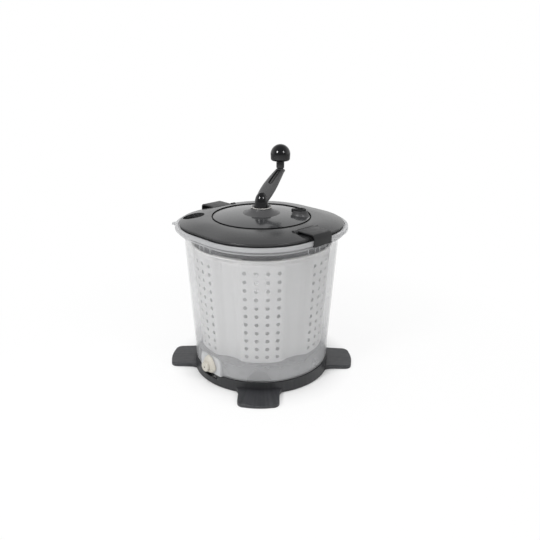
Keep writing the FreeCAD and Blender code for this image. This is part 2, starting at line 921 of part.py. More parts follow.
def floor_holes():
    """Rings of drain holes in the basket floor."""
    drills = []
    for i in range(int(S.floor_hole_rings.value)):
        at = S.floor_hole_first.value + S.floor_hole_pitch.value * i
        count = int(S.floor_hole_count.value) * (i + 1)
        for k in range(count):
            start = polar(at, 360 * k / count, S.basket_bottom.value - 1)
            drills.append(Part.makeCylinder(S.floor_hole_r.value, S.basket_floor.value + 2, start))
    return made(Part.makeCompound(drills))


def wash_basket():
    """Tapered fluted basket with perforated panels, a top lip and a hub on the pivot pin."""
    floor_top = S.basket_bottom + S.basket_floor
    hub_top = S.pivot_top + S.run_gap + S.basket_floor
    outside = lobed_solid(0, S.basket_bottom, S.basket_top)
    lip = drum(S.basket_lip_r, S.basket_top - S.basket_lip, S.basket_top)
    inside = lobed_solid(S.basket_wall.value, floor_top, S.basket_top)
    shell = cut(fuse(outside, lip), inside)
    hub = drum(S.basket_hub_r, HUB_LOW, hub_top)
    bore = drum(BUSH_R + S.press_gap, HUB_LOW, S.pivot_top + S.run_gap)
    return cut(cut(fuse(shell, hub), bore), group(wall_holes(), floor_holes()))


piece(wash_basket(), "wash_basket")
piece(ring(BUSH_R, S.pivot_r + S.journal_gap, HUB_LOW, S.pivot_top), "basket_bush")

# Lid

DISC_R = S.well_r - S.disc_gap
LEDGE_LOW = S.ledge_top - S.lid_wall
LEDGE_IN = S.well_r - S.ledge_width
EDGE_TOP = S.lid_under + S.lid_edge
LATCH_HALF = S.latch_width / 2
EAR_IN = LATCH_HALF + S.run_gap
EAR_OUT = EAR_IN + S.ear_long
DISC_SCREW_PLACES = polar_places(S.disc_screw_at, int(S.disc_screw_count.value), 45)
LATCH_BEARINGS = (S.latch_turn.value, S.latch_turn.value + 180)
GASKET_TOP = S.gasket_at + S.gasket_high


def dome(inset):
    """The lid's outer form: an upright edge under a smooth dome, drawn in by inset all over."""
    drop = as_size(inset)
    loft = doc.addObject("Part::Loft", "Dome")
    well = S.well_r + S.lid_wall
    loft.Sections = [
        put(squared_outline(side - drop, reach - drop), z=height - drop)
        for side, reach, height in (
            (S.lid_side, S.lid_reach, EDGE_TOP),
            (S.lid_side - S.lid_mid_in, S.lid_reach - S.lid_mid_in, EDGE_TOP + S.lid_mid_rise),
            (well - S.run_gap, well, S.lid_top),
        )
    ]
    loft.Solid = True
    loft.Ruled = False
    return fuse(squared(S.lid_side - drop, S.lid_reach - drop, S.lid_under, EDGE_TOP - drop), loft)


def latch_recess(margin):
    """The flat that a latch lies in, open past its button, grown by margin, at both latches."""
    far = S.lid_reach

    def one():
        wide = EAR_OUT + S.recess_open + margin
        back = S.hinge_out - S.hinge_r - S.run_gap - margin
        return block(back, far, ZERO - wide, EAR_IN + margin, S.recess_low - margin, S.lid_top + S.lid_edge)

    return [turn(one(), bearing) for bearing in LATCH_BEARINGS]


def hinge_bar(radius, near, far):
    """A bar along a latch's hinge axis, between two distances from the latch's middle."""
    bar = doc.addObject("Part::Cylinder", "HingeBar")
    bind(bar, Radius=radius, Height=as_size(far) - near)
    bar.Placement = Placement(Vector(), Rotation(UP, ACROSS))
    return put(bar, S.hinge_out, near, S.hinge_height)


def both_latches(make):
    return [turn(make(), bearing) for bearing in LATCH_BEARINGS]


def is_lid_edge(edge):
    """The outline where the lid's upright edge meets its dome."""
    box = edge.BoundBox
    return box.ZLength < 1e-3 and abs(box.ZMin - EDGE_TOP.value) < 1e-3


def lid_ring():
    """Domed lid shell with a ledge for the disc, a locating skirt, an inlet and latch ears."""
    outside = round_edges(dome(ZERO), S.lid_round, is_lid_edge)
    hollow = cut(dome(S.lid_wall), *latch_recess(S.lid_wall))
    shell = cut(outside, hollow, *latch_recess(ZERO))
    tube = ring(S.well_r + S.lid_wall, S.well_r, LEDGE_LOW, S.lid_top)
    ledge = ring(S.well_r + S.lid_wall, LEDGE_IN, LEDGE_LOW, S.ledge_top)
    skirt = ring(S.skirt_r, S.skirt_r - S.lid_wall, S.skirt_low, S.lid_top)
    inlet_half = S.inlet_r + S.lid_wall
    doorway = block(
        S.inlet_x - inlet_half, S.inlet_x + inlet_half, S.inlet_y - inlet_half, S.inlet_y + inlet_half,
        S.skirt_low, S.lid_top,
    )
    inside = fuse(dome(ZERO), drum(S.skirt_r, S.skirt_low, S.lid_under))
    skirt = common(cut(skirt, doorway, *latch_recess(ZERO)), inside)
    throat = drum(S.inlet_r + S.lid_wall, S.lid_under + S.run_gap, S.lid_top, S.inlet_x, S.inlet_y)
    throat = common(throat, dome(ZERO))
    ears = both_latches(lambda: hinge_bar(S.hinge_r, EAR_IN, EAR_OUT))
    ears += both_latches(lambda: hinge_bar(S.button_r, ZERO - EAR_OUT, ZERO - EAR_IN))
    pins = both_latches(lambda: hinge_bar(S.hinge_pin_r + S.press_gap, ZERO - EAR_OUT, EAR_OUT))
    well = drum(S.well_r, S.ledge_top, S.lid_top + S.lid_edge)
    mouth = drum(LEDGE_IN, S.lid_under, S.lid_top)
    inlet = drum(S.inlet_r, S.skirt_low, S.lid_top, S.inlet_x, S.inlet_y)
    groove_low = S.gasket_at - S.seat_gap
    groove = ring(S.skirt_r, S.skirt_r - S.gasket_proud, groove_low, GASKET_TOP + S.seat_gap)
    holes = [drum(S.gear_screw_r + S.seat_gap, S.lid_under, S.ledge_top, x, y) for x, y in DISC_SCREW_PLACES]
    solid = fuse(shell, tube, ledge, skirt, throat, *ears)
    return cut(solid, well, mouth, inlet, groove, *pins, *holes)


piece(lid_ring(), "lid_ring")
GASKET_IN = S.skirt_r - S.gasket_proud + S.seat_gap
piece(ring(S.skirt_r + S.gasket_proud / 2, GASKET_IN, S.gasket_at, GASKET_TOP), "lid_gasket")
piece(
    group(*both_latches(lambda: hinge_bar(S.hinge_pin_r, ZERO - EAR_OUT, EAR_OUT))),
    "latch_pins",
)

# Latches


def latch():
    """A clip hinged on the lid: flat arm, rounded bend and a leg that snaps over the rim's lip."""
    under = S.latch_top - S.latch_thick
    bead_in = S.lip_side + S.run_gap
    leg_in = bead_in + S.latch_bead
    leg_out = leg_in + S.latch_thick
    bend = S.latch_bend
    inner = S.latch_bend - S.latch_thick
    bead_top = S.latch_low + S.latch_bead_high
    profile = from_side(
        [
            (S.hinge_out, under),
            (leg_in - inner, under),
            (leg_in, under - inner),
            (leg_in, bead_top),
            (bead_in, bead_top - S.latch_bead),
            (bead_in, S.latch_low),
            (leg_out, S.latch_low),
            (leg_out, S.latch_top - bend),
            (leg_out - bend, S.latch_top),
            (S.hinge_out, S.latch_top),
        ],
        {
            1: (leg_in - inner * HALF_ROOT, under - inner * HALF_ROOT),
            7: (leg_out - bend * HALF_ROOT, S.latch_top - bend * HALF_ROOT),
        },
        LATCH_HALF,
    )
    barrel = hinge_bar(S.hinge_r, ZERO - LATCH_HALF, LATCH_HALF)
    bore = hinge_bar(S.hinge_pin_r + S.journal_gap, ZERO - LATCH_HALF, LATCH_HALF)
    return cut(fuse(profile, barrel), bore)


for latch_name, latch_bearing in zip(("latch_front", "latch_back"), LATCH_BEARINGS):
    piece(turn(latch(), latch_bearing), latch_name)

# Centre disc and gearbox

GEAR_TOP = S.gear_low + S.gear_thick
CARRIER_LOW = GEAR_TOP + S.carrier_lift
CARRIER_TOP = CARRIER_LOW + S.carrier_thick
TUBE_LOW = CARRIER_TOP + S.carrier_thick
SHAFT_BUSH_R = S.shaft_r + S.journal_gap + S.bush_wall
RING_TEETH = S.sun_teeth + S.planet_teeth * 2
PLANET_AT = S.gear_module * (S.sun_teeth + S.planet_teeth) / 2
GEAR_SCREW_PLACES = polar_places(S.gear_screw_at, int(S.gear_screw_count.value))
COVER_LOW = S.gear_low - S.cover_thick


def lid_disc():
    """Glossy domed disc with the crank collar, the filler collar and the clamp for the ring gear."""
    tube_r = SHAFT_BUSH_R + S.tube_wall
    bore = SHAFT_BUSH_R + S.press_gap
    plate = turned(
        [
            (bore, TUBE_LOW),
            (tube_r, TUBE_LOW),
            (tube_r, S.disc_crown - S.disc_wall),
            (S.disc_crown_r, S.disc_crown - S.disc_wall),
            (LEDGE_IN, S.ledge_top),
            (DISC_R, S.ledge_top),
            (DISC_R, S.disc_edge_top),
            (S.disc_crown_r, S.disc_crown),
            (S.collar_r, S.collar_top),
            (bore, S.collar_top),
        ],
        {
            3: (S.disc_mid_r, S.disc_mid - S.disc_wall),
            6: (S.disc_mid_r, S.disc_mid),
            7: (S.flare_mid_r, S.flare_mid),
        },
    )
    clamp = ring(S.ring_gear_r, S.ring_gear_r - S.clamp_wall, GEAR_TOP, S.disc_mid - S.disc_wall / 2)
    flare = S.filler_flare_r - S.filler_r
    rise = S.filler_neck - S.disc_edge_top
    collar = turned(
        [
            (0, S.ledge_top),
            (S.filler_flare_r, S.ledge_top),
            (S.filler_flare_r, S.disc_edge_top),
            (S.filler_r, S.filler_neck),
            (S.filler_r, S.filler_top),
            (0, S.filler_top),
        ],
        {2: (S.filler_r + flare * HALF_ROOT, S.disc_edge_top + rise * HALF_ROOT)},
    )
    collar = put(group(collar), S.filler_at)
    cup = drum(S.filler_r - S.filler_wall, S.filler_cup_low, S.filler_top, S.filler_at)
    inlet = drum(S.filler_hole_r, S.ledge_top, S.filler_cup_low, S.filler_at)
    screw_top = COVER_LOW + S.gear_screw_long + S.seat_gap
    pilots = [drum(S.gear_screw_r + S.press_gap, GEAR_TOP, screw_top, x, y) for x, y in GEAR_SCREW_PLACES]
    top = S.disc_edge_top
    pilots += [drum(S.gear_screw_r + S.press_gap, S.ledge_top, top, x, y) for x, y in DISC_SCREW_PLACES]
    return cut(fuse(plate, clamp, collar), cup, inlet, *pilots)


def filler_plug():
    """Rubber plug in the filler collar, with a pull tab that drops over the collar towards the crank."""
    cap_r = S.filler_r - S.filler_wall - S.run_gap
    top = S.filler_top + S.plug_tab
    stem_low = S.ledge_top + S.run_gap
    stem_r = S.filler_hole_r - S.run_gap
    body = turned(
        [
            (0, stem_low),
            (stem_r, stem_low),
            (stem_r, S.filler_cup_low + S.run_gap),
            (cap_r, S.filler_cup_low + S.run_gap),
            (cap_r, top - S.plug_tab / 2),
            (cap_r - S.plug_tab / 2, top),
            (cap_r / 2, top),
            (cap_r / 2, top - S.plug_tab),
            (0, top - S.plug_tab),
        ]
    )
    near = ZERO - S.filler_r - S.run_gap
    far = near - S.plug_tab
    low = top - S.plug_tab_drop
    under = S.filler_top + S.run_gap
    tab = from_side(
        [
            (ZERO - S.plug_tab_root, top),
            (far + S.plug_tab, top),
            (far, top - S.plug_tab),
            (far, low),
            (near, low),
            (near, under),
            (ZERO - S.plug_tab_root, under),
        ],
        {1: (far + S.plug_tab * HALF_ROOT, top - S.plug_tab * HALF_ROOT)},
        S.plug_tab_width / 2,
    )
    return put(group(fuse(body, tab)), S.filler_at)


def flank_half_angle(radius, teeth, width):
    """Half the angle that an involute tooth spans at a radius; width is its thickness on the pitch circle."""
    pressure = math.radians(S.pressure_angle.value)
    pitch = S.gear_module.value * teeth / 2
    base = pitch * math.cos(pressure)
    here = math.acos(min(1.0, base / radius))
    involute = math.tan(pressure) - pressure - (math.tan(here) - here)
    return math.degrees(width / (2 * pitch) + involute)


def gear_outline(teeth, root, tip, width, turned_by):
    """Closed wire of a gear: four points up each flank, from root to tip."""
    pitch = S.gear_module.value * teeth / 2
    base = pitch * math.cos(math.radians(S.pressure_angle.value))
    start = max(base, min(root, tip))
    stop = max(root, tip)
    radii = [min(root, tip)] + [start + (stop - start) * k / 3 for k in range(1, 4)]
    points = []
    for tooth in range(teeth):
        middle = turned_by + 360 * tooth / teeth
        spans = [(r, flank_half_angle(r, teeth, width)) for r in radii]
        points += [polar(r, middle - span) for r, span in spans]
        points += [polar(r, middle + span) for r, span in reversed(spans)]
    return Part.makePolygon(points + points[:1])


def gear_solid(wire, low, high):
    face = Part.Face(wire)
    face.translate(Vector(0, 0, low.value))
    return face.extrude(Vector(0, 0, high.value - low.value))


def outside_gear(teeth, turned_by):
    """A planet or sun blank: addendum one module, dedendum a module and a quarter."""
    module = S.gear_module.value
    count = int(teeth.value)
    pitch = module * count / 2
    width = math.pi * module / 2 - S.gear_play.value
    wire = gear_outline(count, pitch - 1.25 * module, pitch + module, width, turned_by)
    return made(gear_solid(wire, S.gear_low + S.run_gap, GEAR_TOP))


def ring_gear():
    """Fixed internal gear; its tooth spaces have the outline of an outside gear."""
    module = S.gear_module.value
    count = int(RING_TEETH.value)
    pitch = module * count / 2
    width = math.pi * module / 2 + S.gear_play.value
    spaces = gear_outline(count, pitch - 0.9 * module, pitch + 1.25 * module, width, 0)
    toothed = made(gear_solid(spaces, S.gear_low, GEAR_TOP))
    holes = [drum(S.gear_screw_r + S.seat_gap, S.gear_low, GEAR_TOP, x, y) for x, y in GEAR_SCREW_PLACES]
    return cut(drum(S.ring_gear_r, S.gear_low, GEAR_TOP), toothed, *holes)


def gearbox_cover():
    """Floor of the gearbox, with a tube for the driver's bush."""
    bore = SHAFT_BUSH_R + S.press_gap
    tube_r = SHAFT_BUSH_R + S.tube_wall
    low = S.sun_journal_low + S.run_gap
    plate = turned(
        [
            (bore, low),
            (tube_r, low),
            (tube_r, COVER_LOW),
            (S.ring_gear_r, COVER_LOW),
            (S.ring_gear_r, S.gear_low),
            (bore, S.gear_low),
        ]
    )
    holes = [drum(S.gear_screw_r + S.seat_gap, COVER_LOW, S.gear_low, x, y) for x, y in GEAR_SCREW_PLACES]
    return cut(plate, *holes)


BUSH_IN = S.shaft_r + S.journal_gap
GEAR_SCREW = (S.gear_screw_r, S.gear_screw_head_r, S.gear_screw_head)
piece(lid_disc(), "lid_disc")
piece(filler_plug(), "filler_plug")
piece(ring_gear(), "ring_gear")
piece(gearbox_cover(), "gearbox_cover")
piece(ring(SHAFT_BUSH_R, BUSH_IN, TUBE_LOW, S.collar_top), "crank_bush")
piece(ring(SHAFT_BUSH_R, BUSH_IN, S.sun_journal_low + S.run_gap, S.gear_low), "driver_bush")
gearbox_screws = [screw(*GEAR_SCREW, COVER_LOW, S.gear_screw_long, x, y) for x, y in GEAR_SCREW_PLACES]
piece(group(*gearbox_screws), "gearbox_screws")
DISC_SCREW_LONG = S.disc_edge_top - LEDGE_LOW - S.seat_gap
disc_screws = [screw(*GEAR_SCREW, LEDGE_LOW, DISC_SCREW_LONG, x, y) for x, y in DISC_SCREW_PLACES]
piece(group(*disc_screws), "disc_screws")

# Gear train and driver

PLANETS = int(S.planet_count.value)
PLANET_PLACES = polar_places(PLANET_AT, PLANETS)
PIN_LOW = S.gear_low + S.run_gap


def planet_carrier():
    """Disc on the crank shaft that carries the planet pins, with three lightening holes."""
    plate = fuse(
        drum(S.carrier_r, CARRIER_LOW, CARRIER_TOP), drum(S.carrier_hub_r, CARRIER_TOP, TUBE_LOW - S.run_gap)
    )
    windows = polar_places(PLANET_AT, PLANETS, 180 / PLANETS)
    holes = [drum(S.carrier_hub_r, CARRIER_LOW, CARRIER_TOP, x, y) for x, y in windows]
    holes += [drum(S.planet_pin_r + S.press_gap, CARRIER_LOW, CARRIER_TOP, x, y) for x, y in PLANET_PLACES]
    holes.append(drum(S.shaft_r + S.press_gap, CARRIER_LOW, TUBE_LOW))
    return cut(plate, *holes)


def planet_gear(number):
    """Planet at its place on the carrier, turned as if it had rolled there along the ring from +X.

    On +X a tooth of the planet lies in a space of the ring.
    """
    bearing = 360 * number / PLANETS
    x, y = PLANET_PLACES[number]
    ratio = RING_TEETH.value / S.planet_teeth.value
    blank = outside_gear(S.planet_teeth, bearing * (1 - ratio))
    boss = drum(S.planet_pin_r * 2, PIN_LOW, CARRIER_LOW - S.run_gap)
    bore = drum(S.planet_pin_r + S.journal_gap, PIN_LOW, CARRIER_LOW)
    return put(group(cut(fuse(blank, boss), bore)), x, y)


def sun_shaft():
    """Sun gear with the journal and the hexagonal drive end below it.

    A planet with an even count has a tooth towards the sun, so the sun has a space there.
    """
    even = int(S.planet_teeth.value) % 2 == 0
    gear = outside_gear(S.sun_teeth, 180 / S.sun_teeth.value if even else 0)
    journal = drum(S.shaft_r, S.sun_journal_low, PIN_LOW)
    drive = hexagon(S.drive_hex, S.drive_low, S.sun_journal_low)
    pilot = drum(S.driver_screw_r + S.press_gap, S.drive_low, S.drive_low + S.driver_screw_long + S.seat_gap)
    return cut(fuse(gear, journal, drive), pilot)


def driver_wheel():
    """Spoked wheel whose lugs drop between the basket's flutes and turn it."""
    plate_low = S.driver_plate_top - S.driver_plate
    spokes = int(S.panel_count.value)
    half = S.driver_spoke / 2
    first = S.basket_turn.value
    rim_in = S.driver_r - S.driver_band

    def spoke():
        return block(ZERO, S.driver_r - S.driver_band / 2, ZERO - half, half, plate_low, S.driver_plate_top)

    rim = cut(
        drum(S.driver_r, S.driver_low, S.driver_top),
        drum(S.driver_r - S.driver_plate, S.driver_plate_top, S.driver_top),
        drum(rim_in, S.driver_low, S.driver_plate_top),
    )
    lug_high = S.driver_low + S.driver_plate
    sectors = around(lambda: wedge(S.lug_half, S.driver_r, S.lug_low, lug_high), spokes, first)
    lugs = common(ring(S.lug_out, S.lug_in, S.lug_low, lug_high), fuse(*sectors))
    hub = drum(S.driver_hub_r, S.drive_low, S.driver_plate_top)
    dish = drum(S.driver_inner_r, plate_low, S.driver_plate_top)
    wheel = fuse(rim, lugs, hub, dish, *around(spoke, spokes, first))
    socket = hexagon(S.drive_hex + S.seat_gap * 2, S.drive_low, S.driver_plate_top)
    return cut(wheel, socket)


piece(planet_carrier(), "planet_carrier")
pins = [drum(S.planet_pin_r, PIN_LOW, CARRIER_TOP, x, y) for x, y in PLANET_PLACES]
piece(group(*pins), "planet_pins")
for number in range(PLANETS):
    piece(planet_gear(number), f"planet_gear_{number + 1}")
piece(sun_shaft(), "sun_shaft")
piece(driver_wheel(), "driver_wheel")
DRIVER_SCREW = (S.driver_screw_r, S.driver_screw_head_r, S.driver_screw_head)
piece(screw(*DRIVER_SCREW, S.drive_low, S.driver_screw_long, ZERO, ZERO), "driver_screw")

# Crank


def arm_place(share):
    """Point of the arm's centre line: a quadratic curve from the hub through the knee to the end."""
    knee = 2 * share * (1 - share)
    end = share * share
    x = S.arm_knee_x * knee + S.crank_throw * end
    z = S.arm_root_z * ((1 - share) ** 2) + S.arm_knee_z * knee + S.arm_end_z * end
    return x, z


def arm_slope(share):
    """Degrees that the centre line rises at a share of its way."""
    run = S.arm_knee_x.value * (1 - 2 * share) + S.crank_throw.value * share
    rise = (S.arm_knee_z.value - S.arm_root_z.value) * (1 - share)
    rise += (S.arm_end_z.value - S.arm_knee_z.value) * share
    return math.degrees(math.atan2(rise, run))


def arm_height(share):
    return S.arm_root_height * (1 - share) + S.arm_end_height * share


def arm_section(share):
    """Oval section of the arm, square to its centre line."""
    oval = doc.addObject("Part::Ellipse", "Oval")
    width = S.arm_root_width * ((1 - share) ** 2) + S.arm_belly_width * (2 * share * (1 - share))
    width = width + S.arm_end_r * (2 * share * share)
    bind(oval, MajorRadius=width / 2, MinorRadius=arm_height(share) / 2)
    slope = math.radians(arm_slope(share))
    upright = Vector(-math.sin(slope), 0, math.cos(slope))
    oval.Placement = Placement(Vector(), Rotation(ACROSS, upright, Vector(), "XYZ"))
    x, z = arm_place(share)
    return put(oval, x, ZERO, z)


def arm_slot():
    """Round-ended slot sunk in the top of the arm, towards the post."""
    share = S.slot_share.value
    half = S.slot_wide / 2
    end = S.slot_long / 2
    stadium = from_top(
        [(half - end, ZERO - half), (end - half, ZERO - half), (end - half, half), (half - end, half)],
        {1: (end, ZERO), 3: (ZERO - end, ZERO)},
        ZERO - S.slot_deep,
        S.slot_deep,
    )
    slope = arm_slope(share)
    holder = group(stadium)
    holder.Placement = Placement(Vector(), Rotation(ACROSS, -slope))
    x, z = arm_place(share)
    return put(holder, x, ZERO, z + arm_height(share) / (2 * math.cos(math.radians(slope))))


def crank_arm():
    """Bullet hub, a rising arm of oval sections and a round end for the knob's post."""
    shoulder = S.hub_top - S.hub_r
    half_root = math.sqrt(0.5)
    hub = turned(
        [(0, S.hub_low), (S.hub_r, S.hub_low), (S.hub_r, shoulder), (0, S.hub_top)],
        {2: (S.hub_r * half_root, shoulder + S.hub_r * half_root)},
    )
    count = int(S.arm_sections.value)
    arm = doc.addObject("Part::Loft", "Arm")
    arm.Sections = [arm_section(i / (count - 1)) for i in range(count)]
    arm.Solid = True
    edge = S.arm_end_round
    low = S.arm_end_z - S.arm_end_height / 2
    end = turned(
        [
            (0, low),
            (S.arm_end_r - edge, low),
            (S.arm_end_r, low + edge),
            (S.arm_end_r, S.arm_end_top - edge),
            (S.arm_end_r - edge, S.arm_end_top),
            (0, S.arm_end_top),
        ],
        {
            1: (S.arm_end_r - edge * HALF_ROOT, low + edge * HALF_ROOT),
            3: (S.arm_end_r - edge * HALF_ROOT, S.arm_end_top - edge * HALF_ROOT),
        },
    )
    shaft_bore = drum(S.shaft_r + S.press_gap, S.hub_low, S.shaft_top)
    tenon = drum(S.spindle_r + S.press_gap, S.arm_end_top - S.spindle_r * 2, S.arm_end_top, S.crank_throw)
    return cut(fuse(hub, arm, put(group(end), S.crank_throw)), arm_slot(), shaft_bore, tenon)


def knob_post():
    """Shouldered post: tenon in the arm, short neck, thick stem, thin spindle in the knob."""
    return turned(
        [
            (0, S.arm_end_top - S.spindle_r * 2),
            (S.spindle_r, S.arm_end_top - S.spindle_r * 2),
            (S.spindle_r, S.arm_end_top),
            (S.post_neck_r, S.arm_end_top),
            (S.post_neck_r, S.arm_end_top + S.post_neck),
            (S.post_r, S.arm_end_top + S.post_neck),
            (S.post_r, S.post_top),
            (S.spindle_r, S.post_top),
            (S.spindle_r, S.knob_top - S.knob_cap - S.run_gap),
            (0, S.knob_top - S.knob_cap - S.run_gap),
        ]
    )


def crank_knob():
    """Mushroom knob: flat underside, upright skirt, domed crown and a recess for its cap."""
    low = S.post_top + S.run_gap
    bore = S.spindle_r + S.journal_gap
    lead = S.knob_lead
    skirt_top = low + S.knob_skirt
    span = S.knob_r - S.knob_flat_r
    rise = S.knob_top - skirt_top
    return turned(
        [
            (bore, low),
            (S.knob_r - lead, low),
            (S.knob_r, low + lead),
            (S.knob_r, skirt_top),
            (S.knob_flat_r, S.knob_top),
            (S.knob_flat_r, S.knob_top - S.knob_cap),
            (bore, S.knob_top - S.knob_cap),
        ],
        {3: (S.knob_flat_r + span * math.sqrt(0.5), skirt_top + rise * math.sqrt(0.5))},
    )


def at_crank_end(thing):
    return turn(put(group(thing), S.crank_throw), S.crank_turn.value)


piece(turn(crank_arm(), S.crank_turn.value), "crank_arm")
piece(drum(S.shaft_r, CARRIER_LOW, S.shaft_top), "crank_shaft")
piece(at_crank_end(knob_post()), "knob_post")
piece(at_crank_end(crank_knob()), "crank_knob")
cap_r = S.knob_flat_r - S.seat_gap
piece(at_crank_end(drum(cap_r, S.knob_top - S.knob_cap, S.knob_top)), "knob_cap")

# Check the document, then write each sub-part

doc.recompute()
for thing in doc.Objects:
    if "Invalid" in thing.State or "Error" in thing.State:
        raise RuntimeError(f"{thing.Label} failed: {thing.State}")
for thing in PIECES:
    if thing.Shape.isNull() or not thing.Shape.isValid():
        raise RuntimeError(f"{thing.Label} has no valid shape")

os.makedirs("parts", exist_ok=True)
for thing in PIECES:
    thing.Shape.exportStep(f"parts/{thing.Label}.step")
    print(thing.Label, len(thing.Shape.Solids), round(thing.Shape.Volume))
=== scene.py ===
import json
import math

import bpy
import numpy as np
from bpy.props import FloatProperty, FloatVectorProperty, PointerProperty
from bpy.types import Operator, Panel, PropertyGroup
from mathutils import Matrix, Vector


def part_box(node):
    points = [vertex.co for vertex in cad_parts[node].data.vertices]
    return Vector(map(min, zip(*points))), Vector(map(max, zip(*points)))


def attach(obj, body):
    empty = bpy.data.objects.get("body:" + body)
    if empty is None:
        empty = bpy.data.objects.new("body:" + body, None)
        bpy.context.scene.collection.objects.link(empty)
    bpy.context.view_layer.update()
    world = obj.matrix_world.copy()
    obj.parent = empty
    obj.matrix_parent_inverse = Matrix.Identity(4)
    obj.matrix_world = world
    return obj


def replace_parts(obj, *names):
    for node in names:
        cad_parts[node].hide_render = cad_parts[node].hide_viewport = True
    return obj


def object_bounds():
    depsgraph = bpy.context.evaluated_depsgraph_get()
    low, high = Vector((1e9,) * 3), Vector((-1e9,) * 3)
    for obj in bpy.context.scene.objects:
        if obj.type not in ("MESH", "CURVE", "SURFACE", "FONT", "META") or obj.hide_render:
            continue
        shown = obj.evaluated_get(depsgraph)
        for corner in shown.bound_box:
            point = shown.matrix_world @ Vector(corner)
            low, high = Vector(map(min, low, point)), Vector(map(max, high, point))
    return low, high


bl_info = {
    "name": "Hand-Crank Washer",
    "version": (1, 0, 0),
    "blender": (4, 5, 0),
    "location": "View3D > Sidebar > Washer",
    "description": "Dresses the frame of a portable hand-crank washing machine",
    "category": "Object",
}

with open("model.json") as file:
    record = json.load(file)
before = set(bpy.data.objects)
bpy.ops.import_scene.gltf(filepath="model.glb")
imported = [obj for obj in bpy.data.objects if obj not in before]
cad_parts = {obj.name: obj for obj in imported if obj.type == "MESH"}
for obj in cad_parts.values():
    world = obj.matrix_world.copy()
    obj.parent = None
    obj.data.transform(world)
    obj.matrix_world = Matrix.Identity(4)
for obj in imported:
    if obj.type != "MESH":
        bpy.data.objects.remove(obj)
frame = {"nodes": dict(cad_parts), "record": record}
CAD_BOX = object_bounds()
NODES = frame["nodes"]
MM = 0.001
FULL_TURN = 2 * math.pi
PHOTO_SIDE = 540
TUB_LOW, TUB_TOP = (corner[2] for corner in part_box("outer_tub"))
TAP_BEARING = math.radians(225)

# Radius of the small flat face that closes a turned piece on its axis
AXIS_CAP = 0.3 * MM


# Settings that a user would change


def length(name, description, millimetres):
    return FloatProperty(
        name=name, description=description, default=millimetres * MM, min=0.0, unit="LENGTH", precision=4
    )


def angle(name, description, degrees):
    return FloatProperty(name=name, description=description, default=math.radians(degrees), subtype="ANGLE")


def share(name, description, default):
    return FloatProperty(
        name=name, description=description, default=default, min=0.0, max=1.0, subtype="FACTOR"
    )


def colour(name, description, default):
    return FloatVectorProperty(
        name=name, description=description, default=default, size=3, min=0.0, max=1.0, subtype="COLOR"
    )


class WasherColours(PropertyGroup):
    stand: colour("Stand", "Dark grey of the footed stand", (0.035, 0.036, 0.04))
    lid: colour("Lid", "Dark grey of the lid", (0.034, 0.0345, 0.0355))
    disc: colour("Disc", "Dark grey of the polished centre disc", (0.037, 0.038, 0.04))
    latch: colour("Latches", "Dark grey of the two latches", (0.014, 0.0143, 0.015))
    collar: colour("Collars", "Grey of the collars on the centre disc", (0.06, 0.06, 0.062))
    # Pale grey painted along the crank collar's rim as a highlight
    rim_highlight: colour("Highlit rim", "Pale grey of the crank collar's rubbed rim", (0.62, 0.6, 0.57))
    crank: colour("Crank", "Near black of the crank's hub, stem and knob", (0.006, 0.006, 0.007))
    arm: colour("Crank arm", "Dark grey of the crank's arm", (0.072, 0.072, 0.073))
    tub: colour("Tub", "Milky tint of the outer tub", (0.6, 0.605, 0.615))
    basket: colour("Basket", "White of the basket", (0.89, 0.88, 0.87))
    tap: colour("Tap", "Cream white of the drain tap", (0.505, 0.48, 0.425))
    rubber: colour("Rubber", "Black of the plug, gaskets and foot pads", (0.012, 0.012, 0.013))
    # Black of the ring in the groove round the centre disc, which stands in for the shadow in that gap:
    # painted shade
    seam: colour("Seam", "Dull black of the seal round the disc", (0.0024, 0.0024, 0.0026))
    steel: colour("Steel", "Bare steel of pins and screws", (0.58, 0.58, 0.59))
    gear: colour("Gears", "Natural plastic of the gears and bushes", (0.72, 0.7, 0.62))
    floor: colour("Floor", "Pale studio floor", (0.9, 0.9, 0.9))


class WasherTub(PropertyGroup):
    foot_radius: length("Foot radius", "Outside radius of the wall at its foot", 138)
    rim_radius: length("Rim radius", "Outside radius of the wall at the rim", 151.9)
    wall: length("Wall", "Thickness of the wall and of the lip", 2.4)
    lip_side: length("Lip side", "From the axis to the lip's flat sides", 161)
    lip_reach: length("Lip reach", "From the axis to the lip's rounded corners", 173)
    lip_height: length("Lip height", "Height of the lip", 7.2)
    bead: length("Bead", "Width of the bead round the lid", 6.5)
    groove: length("Groove", "Depth of the land that the lid sits on", 2)
    step_in: length("Step inset", "How far the step under the lip is set back", 8.5)
    step_height: length("Step height", "Height of the step under the lip", 8)
    arch_half: length("Arch half width", "Half the width of a foot arch", 23.5)
    arch_top: length("Arch top", "Height of the foot arches", 53)
    arch_raise: length("Arch raise", "How far a foot arch stands proud", 1.2)
    pad_face: length("Pad face", "From the axis to the tap's flat pad", 140.8)
    pad_half: length("Pad half width", "Half the width of the tap's pad", 32)
    pad_rise: length("Pad rise", "From the tap's axis to the top of its pad", 23)
    pad_height: length("Pad height", "Height of the tap's axis", 40)
    foot_square: length("Foot corners", "How far the wall's corners stand out at the foot", 0.5)
    rim_square: length("Rim corners", "How far the wall's corners stand out at the rim", 4.5)
    hem_out: length("Hem", "How far the hem under the step stands out", 1.2)
    hem_height: length("Hem height", "Height of the hem under the step", 2)
    rib_half: length("Rib half width", "Half the width of the short ribs under the rim", 1.3)
    rib_long: length("Rib length", "Length of the ribs under the rim", 12)
    rib_raise: length("Rib raise", "How far the ribs stand proud", 1.5)
    nub_half: length("Nub half width", "Half the width of the pull nub on the lip", 6)
    nub_tall: length("Nub half height", "Half the height of the pull nub", 2.6)
    boss_foot: length("Boss foot radius", "Radius of the pivot boss at the floor", 28)
    boss_radius: length("Boss radius", "Radius of the pivot boss at its top", 14)
    boss_top: length("Boss top", "Height of the pivot boss", 52)


